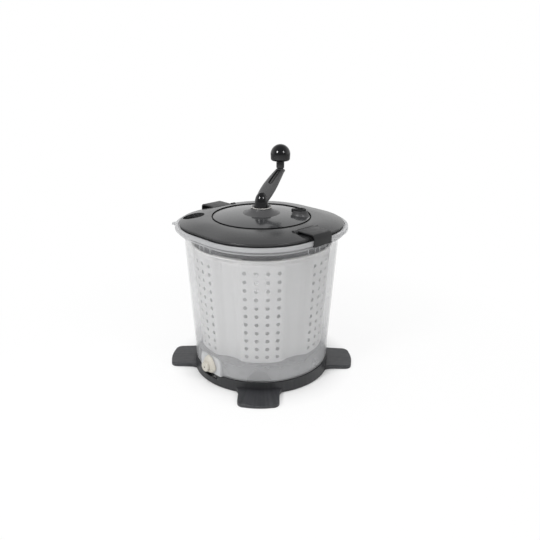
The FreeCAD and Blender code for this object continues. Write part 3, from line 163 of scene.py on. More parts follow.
class WasherBasket(PropertyGroup):
    turn: angle("Turn", "Bearing of the middle of the first panel", -87.65)
    foot_radius: length("Foot radius", "Outside radius of the panels at their foot", 128)
    slope: share("Slope", "How much the radius grows with height", 0.06)
    wall: length("Wall", "Thickness of the wall", 2.2)
    flute_depth: length("Flute depth", "How far the flutes are set back", 9)
    flank_start: angle("Flank start", "From a panel's middle to where its flank starts", 16.6)
    flank_stop: angle("Flank stop", "From a panel's middle to where its flank ends in the flute", 24.8)
    lip_radius: length("Lip radius", "Outside radius of the top lip", 143)
    hole_radius: length("Hole radius", "Radius of the holes in the panels", 3.9)
    hole_step: angle("Hole step", "Angle between columns of holes", 9)
    hole_pitch: length("Hole pitch", "Height between rows of holes", 17.65)
    hole_first: length("First hole", "Height of the lowest row of holes", 73.5)
    floor: length("Floor", "Thickness of the floor", 3)
    floor_hole: length("Floor hole radius", "Radius of the holes in the floor", 3.2)
    hub_radius: length("Hub radius", "Radius of the hub on the floor", 12.5)
    hub_bore: length("Hub bore", "Radius of the bore for the bush", 8.05)
    bore_roof: length("Bore roof", "Height of the bore's closed end", 78.3)
    hub_top: length("Hub top", "Height of the hub", 81.3)


class WasherLid(PropertyGroup):
    latch_turn: angle("Latch turn", "Bearing of the front latch", -45)
    latch_half: length("Latch half width", "Half the width of a latch", 23.5)
    latch_edge: length("Latch edge", "Rounding of a latch's side edges", 0.9)
    latch_top: length("Latch top", "Height of a latch's flat top", 322.5)
    latch_low: length("Latch foot", "Height of a latch's lower edge", 299.4)
    latch_thick: length("Latch thickness", "Thickness of a latch", 2.8)
    latch_out: length("Latch reach", "From the axis to a latch's outer face", 165.1)
    latch_bend: length("Latch bend", "Rounding of a latch's outer bend", 8)
    hook_deep: length("Hook depth", "How far a latch's hook reaches in", 2.6)
    hook_edge: length("Hook edge", "Height of the hook's face", 2.2)
    hook_height: length("Hook height", "Height of the hook where it meets the latch", 4)
    hinge_out: length("Hinge reach", "From the axis to a latch's hinge", 120)
    hinge_height: length("Hinge height", "Height of the hinge", 319.3)
    hinge_radius: length("Hinge radius", "Radius of the hinge barrel", 3.2)
    button_radius: length("Button radius", "Radius of the round end of the hinge", 5)
    button_long: length("Button length", "Length of the round end of the hinge", 8)
    button_gap: length("Button gap", "From a latch's side to the round end of its hinge", 1)
    groove_in: length("Groove inside", "Radius of the centre disc's edge", 97.2)
    groove_out: length("Groove outside", "Radius of the well round the disc", 99.2)
    # Rise and foot of the black ring that stands in for the shadow in the gap round the disc: painted shade
    shade_ring_rise: length("Seal rise", "How far the disc's seal stands out of its groove", 1.8)
    shade_ring_low: length("Seal foot", "Height of the seal's lower face", 322.6)
    collar_radius: length("Collar radius", "Radius of the crank collar's rim", 20.4)
    collar_top: length("Collar top", "Height of the crank collar's rim", 342.4)
    collar_bore: length("Collar bore", "Radius of the crank collar's bore", 14.6)
    collar_foot: length("Collar foot radius", "Radius of the crank collar's foot", 38.2)
    collar_low: length("Collar foot", "Height of the crank collar's foot", 329.2)
    collar_flats: share("Collar flats", "Size of the rim's eight flat sides as a share of its radius", 0.97)
    filler_out: length("Filler reach", "From the axis to the middle of the filler", 77)
    filler_radius: length("Filler radius", "Radius of the filler's rim", 15.4)
    filler_top: length("Filler top", "Height of the filler's rim", 335.8)
    filler_bore: length("Filler bore", "Radius of the filler's bore", 12.5)
    filler_foot: length("Filler foot radius", "Radius of the filler's foot", 20)
    filler_low: length("Filler foot", "Height of the filler's foot", 323)


class WasherCrank(PropertyGroup):
    turn: angle("Crank turn", "Bearing of the arm at rest", 62.8)
    throw: length("Throw", "From the hub's axis to the knob's axis", 80)
    hub_radius: length("Hub radius", "Radius of the bullet hub under its dome", 13.2)
    hub_foot: length("Hub foot radius", "Radius of the bullet hub at its foot", 14.2)
    hub_low: length("Hub foot", "Height of the hub's lower face", 340.9)
    hub_dome: length("Hub dome", "Height at which the hub's dome starts", 350)
    hub_top: length("Hub top", "Height of the hub's dome", 371)
    stem_radius: length("Stem radius", "Radius of the stem under the knob", 8.2)
    stem_waist: length("Stem waist", "Radius of the stem where it meets the arm", 6.4)
    neck_long: length("Neck length", "Length of the stem's thicker neck under the knob", 14)
    spindle: length("Spindle radius", "Radius of the spindle inside the knob", 4)
    crown: length("Knob crown", "From the knob's top to the end of the spindle", 6)
    arm_low: length("Arm root", "Height of the arm's middle at the hub", 354)
    arm_high: length("Arm end", "Height of the arm's middle at the knob", 401.4)
    arm_bow: share("Arm bow", "How much steeper the arm rises at the hub than on average", 0.15)
    arm_deep: length("Arm root depth", "Half the depth of the arm at the hub", 8)
    arm_thin: length("Arm end depth", "Half the depth of the arm at the knob", 4.8)
    arm_root: length("Arm root width", "Width of the arm inside the hub", 25)
    arm_belly: length("Arm belly", "Pull of the curve that widens the arm past the hub", 40)
    arm_taper: length("Arm taper", "Pull of the curve that narrows the arm towards its end", 27)
    arm_end: length("Arm end width", "Width of the arm at the knob", 20)
    slot_start: length("Slot start", "Where the slot starts along the arm", 37)
    slot_stop: length("Slot stop", "Where the slot ends along the arm", 75)
    slot_half: length("Slot half width", "Half the width of the slot", 3.2)
    slot_deep: length("Slot depth", "Depth of the slot", 3)
    knob_radius: length("Knob radius", "Radius of the knob's ball", 20.3)
    knob_low: length("Knob foot", "Height of the knob's underside", 420.9)
    knob_top: length("Knob top", "Height of the knob's crown", 455)
    knob_edge: length("Knob edge", "Rounding of the knob's lower edge", 4.5)


class WasherTap(PropertyGroup):
    half: length("Tap half width", "Half the width of the tap's hood at the pad", 19.5)
    drop: length("Tap drop", "From the tap's axis to the bottom of its hood", 16)
    rise: length("Tap rise", "From the tap's axis to the top of its hood", 22)
    seat: length("Tap seat", "From the tub's axis to the back of the hood", 142)
    front: length("Tap front", "From the tub's axis to the front of the hood", 150)
    taper: share("Tap taper", "How much the hood shrinks towards the handle", 0.4)
    pear: share("Tap pear", "How much narrower the hood is at its top", 0.3)
    stem: length("Tap stem", "Radius of the stem through the tub's wall", 8.7)
    stem_end: length("Tap stem end", "From the tub's axis to the inner end of the stem", 127)


class WasherStage(PropertyGroup):
    distance: length("Camera distance", "Level distance from the tub's axis to the camera", 1136.9)
    height: length("Camera height", "Height of the camera above the floor", 625.1)
    bearing: angle("Camera bearing", "How far the camera stands to the right of the front", 1.9)
    pitch: angle("Camera pitch", "How far the camera looks down", 20.17)
    focal: FloatProperty(name="Focal length", description="In photo pixels", default=585.5, subtype="PIXEL")
    axis_column: FloatProperty(
        name="Axis column", description="Photo column of the tub's axis", default=261.4, subtype="PIXEL"
    )
    fill: share("Fill light", "Strength of the white room around the object", 0.48)
    glow: share("Floor glow", "How much of the floor's own white hides the shadow beside the object", 0.85)


# Surfaces on grids


def soften(corners, cuts, steps=5):
    """Round the corners of an open profile.

    Each inner corner becomes a quadratic curve that starts and ends its cut away, or halfway to the
    next corner.
    """
    corners = np.array(corners, dtype=float)
    middle = corners[1:-1]
    cuts = np.broadcast_to(cuts, len(middle))[:, None]

    def toward(others):
        span = others - middle
        return middle + span * np.minimum(cuts / np.linalg.norm(span, axis=1, keepdims=True), 0.5)

    t = np.linspace(0, 1, steps)[None, :, None]
    start, stop = toward(corners[:-2])[:, None], toward(corners[2:])[:, None]
    bends = (1 - t) ** 2 * start + 2 * t * (1 - t) * middle[:, None] + t ** 2 * stop
    return np.vstack([corners[:1], bends.reshape(-1, corners.shape[1]), corners[-1:]])


def refine(profile, spacing):
    """Add points to a profile so that none are further apart than the spacing."""
    along = np.concatenate([[0], np.cumsum(np.linalg.norm(np.diff(profile, axis=0), axis=1))])
    even = np.linspace(0, along[-1], int(along[-1] / spacing) + 2)
    places = np.unique(np.round(np.concatenate([along, even]), 6))
    return np.stack([np.interp(places, along, column) for column in profile.T], axis=1)


def squared_radius(bearing, side, reach):
    """Radius of a rounded square with its corners on the axes.

    Near an axis it lies on a circle about a point of that axis, c = (reach - side) / (1 - sqrt(1/2)) out.
    Elsewhere it lies on the flat side. With side equal to reach it is a circle.
    """
    turn = np.abs((bearing + math.pi / 4) % (math.pi / 2) - math.pi / 4)
    centre = (reach - side) / (1 - math.sqrt(0.5))
    near = (reach - centre) * math.sqrt(0.5)
    arc = centre * np.cos(turn) + np.sqrt((reach - centre) ** 2 - (centre * np.sin(turn)) ** 2)
    flat = side / np.cos(math.pi / 4 - turn)
    return np.where(turn <= np.arctan2(near, centre + near), arc, flat)


def ease(value, low, high):
    """Smooth step from 0 at low to 1 at high."""
    t = np.clip((value - low) / (high - low), 0, 1)
    return t * t * (3 - 2 * t)


def band(distance, half, edge):
    """1 in a band of a half width and 0 outside it, with a smooth edge that lies within it."""
    return ease(half - np.abs(distance), 0, edge)


def round_steps(columns):
    """Even steps round a full turn, as one row."""
    return np.arange(columns)[None, :] * FULL_TURN / columns


def ring_points(bearing, radius, height):
    """Points at a bearing and a radius about the upright axis, and at a height."""
    return np.stack(np.broadcast_arrays(radius * np.cos(bearing), radius * np.sin(bearing), height), axis=-1)


def grid_quads(rows, columns, loop=False):
    """Numbers of the four corners of each face of a grid of rings, by rows and columns.

    A loop joins the last ring to the first.
    """
    number = np.arange(rows * columns).reshape(rows, columns)
    after = np.roll(number, -1, axis=0)
    faces = np.stack([number, np.roll(number, -1, axis=1), np.roll(after, -1, axis=1), after], axis=-1)
    return faces if loop else faces[:-1]


def shell(grid, loop=False):
    """Points, faces and end rings of a grid of rings: flat faces close its two ends, but a loop has none."""
    rows, columns = grid.shape[:2]
    ring = np.arange(columns)
    ends = [] if loop else [ring[::-1], ring + (rows - 1) * columns]
    return grid.reshape(-1, 3), grid_quads(rows, columns, loop).reshape(-1, 4), ends


def mesh_piece(name, points, quads, ends, crease=35, **attributes):
    """Smooth mesh from points, four-cornered faces and end rings; attributes give a number for each point."""
    loops = np.concatenate([quads.reshape(-1), *ends])
    sizes = np.array([4] * len(quads) + [len(ring) for ring in ends])
    starts = np.cumsum(sizes) - sizes
    mesh = bpy.data.meshes.new(name)
    mesh.vertices.add(len(points))
    mesh.vertices.foreach_set("co", points.reshape(-1).astype(np.float32))
    mesh.loops.add(len(loops))
    mesh.loops.foreach_set("vertex_index", loops.astype(np.int32))
    mesh.polygons.add(len(starts))
    mesh.polygons.foreach_set("loop_start", starts.astype(np.int32))
    for key, values in attributes.items():
        layer = mesh.attributes.new(key, "FLOAT", "POINT")
        layer.data.foreach_set("value", values.reshape(-1).astype(np.float32))
    mesh.update(calc_edges=True)
    mesh.validate()
    mesh.shade_smooth()
    mesh.set_sharp_from_angle(angle=math.radians(crease))
    thing = bpy.data.objects.new(name, mesh)
    bpy.context.scene.collection.objects.link(thing)
    return thing


def skin(name, grid, crease=35, loop=False, **attributes):
    """Closed mesh over one grid of rings."""
    return mesh_piece(name, *shell(grid, loop), crease, **attributes)


def lathe(profile, columns=64, centre=(0.0, 0.0)):
    """Rings of a profile of radius and height, turned about an upright axis."""
    return ring_points(round_steps(columns), profile[:, 0:1], profile[:, 1:2]) + (*centre, 0.0)


def turned_to(bearing, out, aside, height):
    """Points from their distance out along a bearing, their distance aside and their height."""
    x = out * math.cos(bearing) - aside * math.sin(bearing)
    y = out * math.sin(bearing) + aside * math.cos(bearing)
    return np.stack(np.broadcast_arrays(x, y, height), axis=-1)


def goes_with(thing, node, material):
    """Let a new piece ride on a node's body, with a finish."""
    record = frame["record"]
    body = next(name for name, nodes in record["behaviour"]["bodies"].items() if node in nodes)
    thing.data.materials.append(material)
    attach(thing, body)
    return thing


def stands_for(thing, node, material):
    """Put a new piece in place of a node of the frame."""
    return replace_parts(goes_with(thing, node, material), node)


# Tub

TUB_CAP = 5 * MM
OUTSIDE_STEP, INSIDE_STEP = 2.4 * MM, 9 * MM
RIB_TURNS = np.radians([2.4, 9.0])[:, None, None]
LIT_FOOT_FADE = (40 * MM, 100 * MM)
UNDER_RIM_SHADE_FADE = (266 * MM, 282 * MM)

# Heights between which the wall is plain, and how many of its rows there make way for one
PLAIN_WALL, PLAIN_EVERY = (92 * MM, 264 * MM), 20

# Share of light that the plain wall stops, the least and the most, and what each part adds: the thicker
# parts of the moulding stop more, the lower wall stops more so that it shows lighter, as painted light,
# and the band under the rim stops less so that it shows darker, as painted shade
CLOUD_WALL, CLOUD_LEAST, CLOUD_MOST = 0.25, 0.05, 0.85
CLOUD_PARTS = {
    # Painted light: the lower wall more opaque, so that it shows lighter
    "foot": 0.13,
    "step": 0.03,
    "hem": 0.22,
    "lip": 0.43,
    # Painted shade: the band under the rim clearer, so that it shows darker
    "clear": -0.165,
    "arch": -0.16,
    "pad": 0.4,
    "rib": 0.5,
}


def rim_levels(tub):
    """Heights of the lip's lower edge and of the step under it."""
    lip_low = TUB_TOP - tub.lip_height
    return lip_low, lip_low - tub.step_height


def tub_profile(tub):
    """Half section of the tub as rows of side, reach and height, its outside and its inside apart.

    It runs from the middle of the underside over the rim and down to the top of the pivot boss.
    """

    def wall(height, inset=0.0):
        up = (height - TUB_LOW) / (TUB_TOP - TUB_LOW)
        side = tub.foot_radius + (tub.rim_radius - tub.foot_radius) * up - inset
        return side, side + tub.foot_square + (tub.rim_square - tub.foot_square) * up, height

    def lip(inset, height):
        return tub.lip_side - inset, tub.lip_reach - inset, height

    def turned(radius, height):
        return radius, radius, height

    lip_low, step_low = rim_levels(tub)
    land = TUB_TOP - tub.groove
    roof = land - tub.wall
    floor = TUB_LOW + tub.wall
    hem = tub.step_in - tub.hem_out
    hem_top = step_low + tub.hem_height
    outside = soften(
        [
            turned(TUB_CAP, TUB_LOW), wall(TUB_LOW), wall(step_low), lip(hem, step_low),
            lip(hem, hem_top), lip(tub.step_in, hem_top + 1 * MM), lip(tub.step_in, roof),
            lip(tub.wall, roof), lip(tub.wall, lip_low), lip(0, lip_low), lip(0, TUB_TOP),
            lip(tub.bead, TUB_TOP), lip(tub.bead, land),
        ],
        np.array([5, 2, 0.8, 0.8, 0.8, 1, 0.6, 0.4, 0.6, 1.8, 1.8]) * MM,
    )
    inside = soften(
        [
            lip(tub.bead, land), wall(land, tub.wall), wall(floor, tub.wall), turned(tub.boss_foot, floor),
            turned(tub.boss_radius, tub.boss_top), turned(TUB_CAP, tub.boss_top),
        ],
        np.array([1, 5, 3, 1]) * MM,
    )
    return thinned(refine(outside, OUTSIDE_STEP), tub), refine(inside, INSIDE_STEP)


def thinned(profile, tub):
    """The tub's outside with few of its rows where the wall is plain and under the flat floor."""
    side, height = profile[:, 0], profile[:, 2]
    plain = (height > PLAIN_WALL[0]) & (height < PLAIN_WALL[1])
    under = (height <= TUB_LOW) & (side < tub.foot_radius - 6 * MM)
    return profile[~(plain | under) | (np.arange(len(profile)) % PLAIN_EVERY == 0)]


def tub_cloud(tub, height, **raised):
    """Share of light that the tub stops at each point, and how far the point belongs to the lip.

    Each part adds its own share to the wall's: the parts of the moulding, painted light on the lower wall and
    painted shade in the band under the rim. The raised parts are given point by point.
    """
    lip_low, step_low = rim_levels(tub)
    lip = ease(height, lip_low - 1 * MM, lip_low + 1 * MM)
    step = ease(height, step_low - 1 * MM, step_low + 1 * MM) * (1 - lip)
    parts = {
        "foot": 1 - ease(height, *LIT_FOOT_FADE),
        "step": step,
        "hem": band(height - step_low - 0.8 * MM, 2.6 * MM, 1 * MM),
        "lip": lip,
        "clear": ease(height, *UNDER_RIM_SHADE_FADE) * (1 - lip) * (1 - step),
        **raised,
    }
    cloud = CLOUD_WALL + sum(CLOUD_PARTS[name] * part for name, part in parts.items())
    return np.clip(cloud, CLOUD_LEAST, CLOUD_MOST), np.broadcast_to(lip, cloud.shape)


def tub_grid(tub, columns=480):
    """The tub's section carried round the axis, with foot arches, the tap's flat pad, a pull nub and ribs.

    An arch is half an ellipse that stands on the foot. The pad is a plane square to the tap's axis inside an
    arched outline. The nub is a raised patch on the left corner of the lip. The ribs are short raised strips
    under the rim, at set angles from the middle of each flat side. With the points come the share of light
    that each one stops and how far it belongs to the lip.
    """
    outside, inside = tub_profile(tub)
    rows = np.vstack([outside, inside])[:, :, None]
    side, reach, height = rows[:, 0], rows[:, 1], rows[:, 2]
    bearing = round_steps(columns)
    radius = squared_radius(bearing, side, reach)
    outer = (np.arange(len(rows)) < len(outside))[:, None]
    lower = outer & (height > TUB_LOW + 2 * MM) & (height < tub.arch_top + tub.pad_rise)

    turn = (bearing + math.pi / 4) % (math.pi / 2) - math.pi / 4
    across = radius * np.sin(turn) / tub.arch_half
    up = (height - TUB_LOW) / (tub.arch_top - TUB_LOW)
    arch = lower * ease(1 - np.hypot(across, up), -0.1, 0.15)

    swing = (bearing - TAP_BEARING + math.pi) % FULL_TURN - math.pi
    facing = np.abs(swing) < 1
    aside = np.abs(radius * np.sin(swing))
    rise = np.maximum(height - tub.pad_height, 0)
    within = 1 - ((aside / tub.pad_half) ** 4 + (rise / tub.pad_rise) ** 4) ** 0.25
    pad = lower * facing * ease(within, -0.06, 0.14)
    flat = np.maximum(tub.pad_face / np.cos(np.where(facing, swing, 0)), radius)
    radius = radius + arch * tub.arch_raise
    radius = radius + pad * (flat - radius)

    reached = -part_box("outer_tub")[0][0]
    left = bearing - math.pi
    lip_middle = TUB_TOP - tub.lip_height / 2
    nub = outer * (np.abs(left) < 1) * band(radius * np.sin(left), tub.nub_half, 1.5 * MM)
    nub = nub * band(height - lip_middle, tub.nub_tall, 1 * MM) * (radius > tub.lip_reach - 2 * MM)
    radius = radius + nub * (reached - radius)

    step_low = rim_levels(tub)[1]
    rib_low = step_low - tub.rib_long
    off_rib = radius * np.abs(np.abs(bearing % (math.pi / 2) - math.pi / 4) - RIB_TURNS)
    rib = outer * (height < step_low) * band(off_rib.min(axis=0), tub.rib_half, 0.8 * MM)
    rib = rib * ease(height, rib_low - 1 * MM, rib_low + 1 * MM)
    radius = radius + rib * tub.rib_raise
    return ring_points(bearing, radius, height), *tub_cloud(tub, height, arch=arch, pad=pad, rib=rib)


class WASHER_OT_tub(Operator):
    """Mould the milky tub with its double lip, foot arches and tap pad"""

    bl_idname = "washer.tub"
    bl_label = "Tub"

    def execute(self, context):
        grid, cloud, lip = tub_grid(context.scene.washer_tub)
        stands_for(skin("milky_tub", grid, cloud=cloud, lip=lip), "outer_tub", tub_plastic())
        return {"FINISHED"}


# Basket

PANELS = 6
PANEL_HOLES = 4
HOLE_ROWS = 11
HOLE_LEAD = 0.5 * MM

# A hole sits in a cell of four by four faces, whose marks put the edge's sixteen points at even angles
CELL = 4
CELL_MARKS = np.array([-1, 1 - math.sqrt(2), 0, math.sqrt(2) - 1])
CELL_RING = np.array(
    [(0, 0), (0, 1), (0, 2), (0, 3), (0, 4), (1, 4), (2, 4), (3, 4)]
    + [(4, 4), (4, 3), (4, 2), (4, 1), (4, 0), (3, 0), (2, 0), (1, 0)]
)

# Order that matches the edge of an outer cell to that of the inner one, whose rows run the other way
FLIP = np.array([12, 11, 10, 9, 8, 7, 6, 5, 4, 3, 2, 1, 0, 15, 14, 13])
CELL_ANGLES = math.radians(225) + np.arange(len(CELL_RING)) * FULL_TURN / len(CELL_RING)

BASKET_LOW, BASKET_TOP = 61 * MM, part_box("wash_basket")[1][2]
HUB_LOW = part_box("wash_basket")[0][2]
FLUTE_COLUMNS = 8
FLOOR_IN, FLOOR_RING, FLOOR_RINGS = 32 * MM, 24.6 * MM, 3
NECK_LEVELS = np.array([262, 267, 271, 273]) * MM
LIP_THICK, EDGE = 2 * MM, 0.6 * MM


def flute_share(bearing, basket):
    """0 on a panel and 1 in a flute, with a smooth flank between them."""
    sector = FULL_TURN / PANELS
    turn = np.abs((bearing - basket.turn + sector / 2) % sector - sector / 2)
    return ease(turn, basket.flank_start, basket.flank_stop)


def basket_radius(bearing, height, basket):
    """Cone of the panels, less the flute's depth where it is a flute."""
    panel = basket.foot_radius + basket.slope * (height - BASKET_LOW)
    return panel - flute_share(bearing, basket) * basket.flute_depth


def basket_columns(basket):
    """Bearings of the grid's columns: the cells of each panel's holes, then even steps over its flute."""
    half = PANEL_HOLES / 2 * basket.hole_step
    middles = (np.arange(PANEL_HOLES) - (PANEL_HOLES - 1) / 2) * basket.hole_step
    panel = (middles[:, None] + CELL_MARKS * basket.hole_step / 2).reshape(-1)
    flute = np.linspace(half, FULL_TURN / PANELS - half, FLUTE_COLUMNS, endpoint=False)
    sectors = basket.turn + np.arange(PANELS)[:, None] * FULL_TURN / PANELS
    return (sectors + np.concatenate([panel, flute])).reshape(-1)


def cell_levels(first, pitch, count):
    """Levels of the grid's rows through a stack of cells, with the far edge of the last one."""
    middles = first + np.arange(count) * pitch
    levels = (middles[:, None] + CELL_MARKS * pitch / 2).reshape(-1)
    return np.append(levels, middles[-1] + pitch / 2)


def basket_rows(basket):
    """Rows of the basket's section, and the first row of each stack of cells.

    A row holds a round radius, the share of the fluted wall, the inset from that wall and the height.
    """
    wall, lip, floor = basket.wall, basket.lip_radius, BASKET_LOW + basket.floor
    hub, bore = basket.hub_radius, basket.hub_bore
    rings = cell_levels(FLOOR_IN + FLOOR_RING / 2, FLOOR_RING, FLOOR_RINGS)
    levels = cell_levels(basket.hole_first, basket.hole_pitch, HOLE_ROWS)

    def round_row(radius, height):
        return radius, 0.0, 0.0, height

    def wall_row(height, inset=0.0):
        return 0.0, 1.0, inset, height

    parts = [
        [round_row(AXIS_CAP, basket.bore_roof), round_row(bore, basket.bore_roof), round_row(bore, HUB_LOW)],
        [round_row(hub, HUB_LOW), round_row(hub, BASKET_LOW)],
        [round_row(radius, BASKET_LOW) for radius in rings],
        [wall_row(BASKET_LOW, EDGE), wall_row(BASKET_LOW + EDGE), wall_row(BASKET_LOW + 2 * MM)],
        [wall_row(level) for level in levels],
        [wall_row(level) for level in NECK_LEVELS],
        [round_row(lip - 0.4 * MM, BASKET_TOP - LIP_THICK - EDGE), round_row(lip, BASKET_TOP - LIP_THICK)],
        [round_row(lip, BASKET_TOP - EDGE), round_row(lip - EDGE, BASKET_TOP)],
        [wall_row(BASKET_TOP, wall - EDGE), wall_row(BASKET_TOP - EDGE, wall)],
        [wall_row(level, wall) for level in NECK_LEVELS[::-1]],
        [wall_row(level, wall) for level in levels[::-1]],
        [wall_row(floor, wall + 1.5 * MM)],
        [round_row(radius, floor) for radius in rings[::-1]],
        [round_row(hub, floor), round_row(hub, basket.hub_top - 1 * MM)],
        [round_row(hub - 1 * MM, basket.hub_top), round_row(AXIS_CAP, basket.hub_top)],
    ]
    counts = np.cumsum([0] + [len(part) for part in parts])
    starts = {"floor_under": counts[2], "wall_out": counts[4], "wall_in": counts[10], "floor_in": counts[12]}
    return np.array([row for part in parts for row in part]), starts


def cell_numbers(rows, columns, total):
    """Numbers of the sixteen grid points round each cell, for the cells' first rows and columns."""
    row = rows[:, None] + CELL_RING[:, 0]
    column = (columns[:, None] + CELL_RING[:, 1]) % total
    return row * total + column


def pierce(outside, inside, rings, first):
    """Faces from a cell's outer edge through the rings of its hole to its inner edge."""
    made = first + np.arange(rings[..., 0].size).reshape(rings.shape[:3])
    strips = np.concatenate([outside[:, None], made, inside[:, None]], axis=1)
    after = np.roll(strips, -1, axis=2)
    return np.stack([strips[:, :-1], after[:, :-1], after[:, 1:], strips[:, 1:]], axis=-1).reshape(-1, 4)


def hole_rings(place, radius, lead):
    """Four circles of a hole: its rounded outer edge, its bore and its rounded inner edge."""
    sizes = np.array([radius + lead, radius, radius, radius + lead])[None, :, None]
    depths = np.array([0.0, 0.2, 0.8, 1.0])[None, :, None]
    return place(sizes * np.cos(CELL_ANGLES), sizes * np.sin(CELL_ANGLES), depths)


def basket_mesh(basket):
    """The fluted wall and the floor on one grid of rings, with round holes in their cells."""
    bearing = basket_columns(basket)
    total = len(bearing)
    table, starts = basket_rows(basket)
    circle, follow, inset, height = (table[:, i:i + 1] for i in range(4))
    radius = circle + follow * (basket_radius(bearing, height, basket) - inset)
    grid = ring_points(bearing, radius, height)

    quads = grid_quads(len(table), total)
    keep = np.ones(quads.shape[:2], dtype=bool)
    pieces, faces = [grid.reshape(-1, 3)], []
    per_panel = total // PANELS
    panel_columns = (np.arange(PANELS)[:, None] * per_panel + np.arange(PANEL_HOLES) * CELL).reshape(-1)
    floor_columns = np.arange(0, total, CELL)

    def add_holes(rows, columns, outer, inner, span, place, size):
        """Open the cells whose first rows, counted from the start of their stack, and columns are given."""
        cells = cell_numbers(outer + rows, columns, total)
        far = cell_numbers(inner + span - rows - CELL, columns, total)[:, FLIP]
        for corner in np.ndindex(CELL, CELL):
            keep[outer + rows + corner[0], (columns + corner[1]) % total] = False
            keep[inner + span - rows - CELL + corner[0], (columns + corner[1]) % total] = False
        rings = hole_rings(place, size, HOLE_LEAD)
        faces.append(pierce(cells, far, rings, sum(len(p) for p in pieces)))
        pieces.append(rings.reshape(-1, 3))

    rows, columns = (part.reshape(-1) for part in np.meshgrid(np.arange(HOLE_ROWS) * CELL, panel_columns))
    middle = bearing[columns + CELL // 2][:, None, None]
    centre = (basket.hole_first + rows / CELL * basket.hole_pitch)[:, None, None]

    def on_wall(aside, up, depth):
        tall = centre + up
        turn = middle + aside / basket_radius(middle, centre, basket)
        flat = basket_radius(turn, tall, basket) - depth * basket.wall
        return ring_points(turn, flat, tall)

    add_holes(
        rows, columns, starts["wall_out"], starts["wall_in"], HOLE_ROWS * CELL, on_wall, basket.hole_radius
    )

    skips = [(ring, floor_columns[::PANEL_HOLES - 1 - ring]) for ring in range(FLOOR_RINGS)]
    rows = np.concatenate([np.full(len(part), ring * CELL) for ring, part in skips])
    columns = np.concatenate([part for _, part in skips])
    floor_middle = bearing[columns + CELL // 2][:, None, None]
    floor_centre = (FLOOR_IN + (rows / CELL + 0.5) * FLOOR_RING)[:, None, None]

    def on_floor(aside, up, depth):
        out = floor_centre + up
        turn = floor_middle + aside / floor_centre
        return ring_points(turn, out, BASKET_LOW + depth * basket.floor)

    under, inner = starts["floor_under"], starts["floor_in"]
    add_holes(rows, columns, under, inner, FLOOR_RINGS * CELL, on_floor, basket.floor_hole)
    ends = shell(grid)[2]
    return np.concatenate(pieces), np.concatenate([quads[keep], *faces]), ends


class WASHER_OT_basket(Operator):
    """Mould the white basket with smooth flutes and rows of holes"""

    bl_idname = "washer.basket"
    bl_label = "Basket"

    def execute(self, context):
        mesh = basket_mesh(context.scene.washer_basket)
        stands_for(mesh_piece("fluted_basket", *mesh), "wash_basket", basket_plastic())
        return {"FINISHED"}


# Latches


def latch_grid(lid, bearing):
    """A latch's side profile carried across its width, drawn in at the two side edges to round them."""
    top, low, out = lid.latch_top, lid.latch_low, lid.latch_out
    under, within = top - lid.latch_thick, out - lid.latch_thick
    back, front = lid.hinge_out - lid.hinge_radius, lid.hinge_out + lid.hinge_radius
    barrel_low = lid.hinge_height - lid.hinge_radius
    hook = within - lid.hook_deep
    middle = (lid.hinge_out + out) / 2
    bend, inner_bend, barrel_bend = lid.latch_bend, lid.latch_bend - lid.latch_thick, 3 * MM
    profile = soften(
        [
            (middle, top), (out, top), (out, low),
            (hook, low), (hook, low + lid.hook_edge), (within, low + lid.hook_height),
            (within, under), (front, under),
            (front, barrel_low), (back, barrel_low), (back, top), (middle, top),
        ],
        [
            bend, 1.2 * MM, 1 * MM, 0.8 * MM, 1.2 * MM,
            inner_bend, 0.4 * MM, barrel_bend, barrel_bend, barrel_bend,
        ],
        steps=7,
    )[:-1]
    along = np.roll(profile, -1, axis=0) - np.roll(profile, 1, axis=0)
    outward = np.stack([-along[:, 1], along[:, 0]], axis=1)
    outward = outward / np.linalg.norm(outward, axis=1, keepdims=True)
    quarter = np.linspace(0, math.pi / 2, 5)
    drawn = np.concatenate([1 - np.sin(quarter), 1 - np.cos(quarter)])[:, None] * lid.latch_edge
    place = np.concatenate([-1 + 0 * quarter, 1 + 0 * quarter])[:, None] * lid.latch_half
    place = place + np.concatenate([1 - np.cos(quarter), np.sin(quarter) - 1])[:, None] * lid.latch_edge
    rounded = profile - drawn[:, None] * outward
    return turned_to(bearing, rounded[..., 0], place, rounded[..., 1])


def button_grid(lid, bearing):
    """Round end of a hinge: a short bar with a rounded face, laid along the hinge on its left side."""
    radius, long = lid.button_radius, lid.button_long
    profile = soften([(AXIS_CAP, 0), (radius, 0), (radius, long), (AXIS_CAP, long)], [1.5 * MM, 0.6 * MM])
    up, out, along = np.moveaxis(lathe(profile, 40), -1, 0)
    start = -lid.latch_half - lid.button_gap - long
    return turned_to(bearing, lid.hinge_out + out, start + along, lid.hinge_height + up)


class WASHER_OT_latches(Operator):
    """Mould the two latches with their rounded bends, and the round ends of their hinges"""

    bl_idname = "washer.latches"
    bl_label = "Latches"

    def execute(self, context):
        lid = context.scene.washer_lid
        finish = latch_plastic()
        for side, turn in (("front", 0.0), ("back", math.pi)):
            bearing = lid.latch_turn + turn
            stands_for(skin(f"{side}_latch_clip", latch_grid(lid, bearing)), f"latch_{side}", finish)
            goes_with(skin(f"{side}_hinge_button", button_grid(lid, bearing)), "lid_ring", finish)
        return {"FINISHED"}


# Crank

SPINDLE_GAP = 0.3 * MM
ARM_SQUARE = 0.8
SLOT_EDGE = (-0.3 * MM, 0.5 * MM)
# Painted shade round the slot: where it fades from the rim's full shade to the floor's share, how far it
# reaches out on the right and on the left, and the share left on the slot's floor
SLOT_SHADE_FADE = (0.4 * MM, 1.2 * MM)
SHADE_RIGHT, SHADE_LEFT, SLOT_FLOOR_SHADE = 3.4 * MM, 1.4 * MM, 0.25


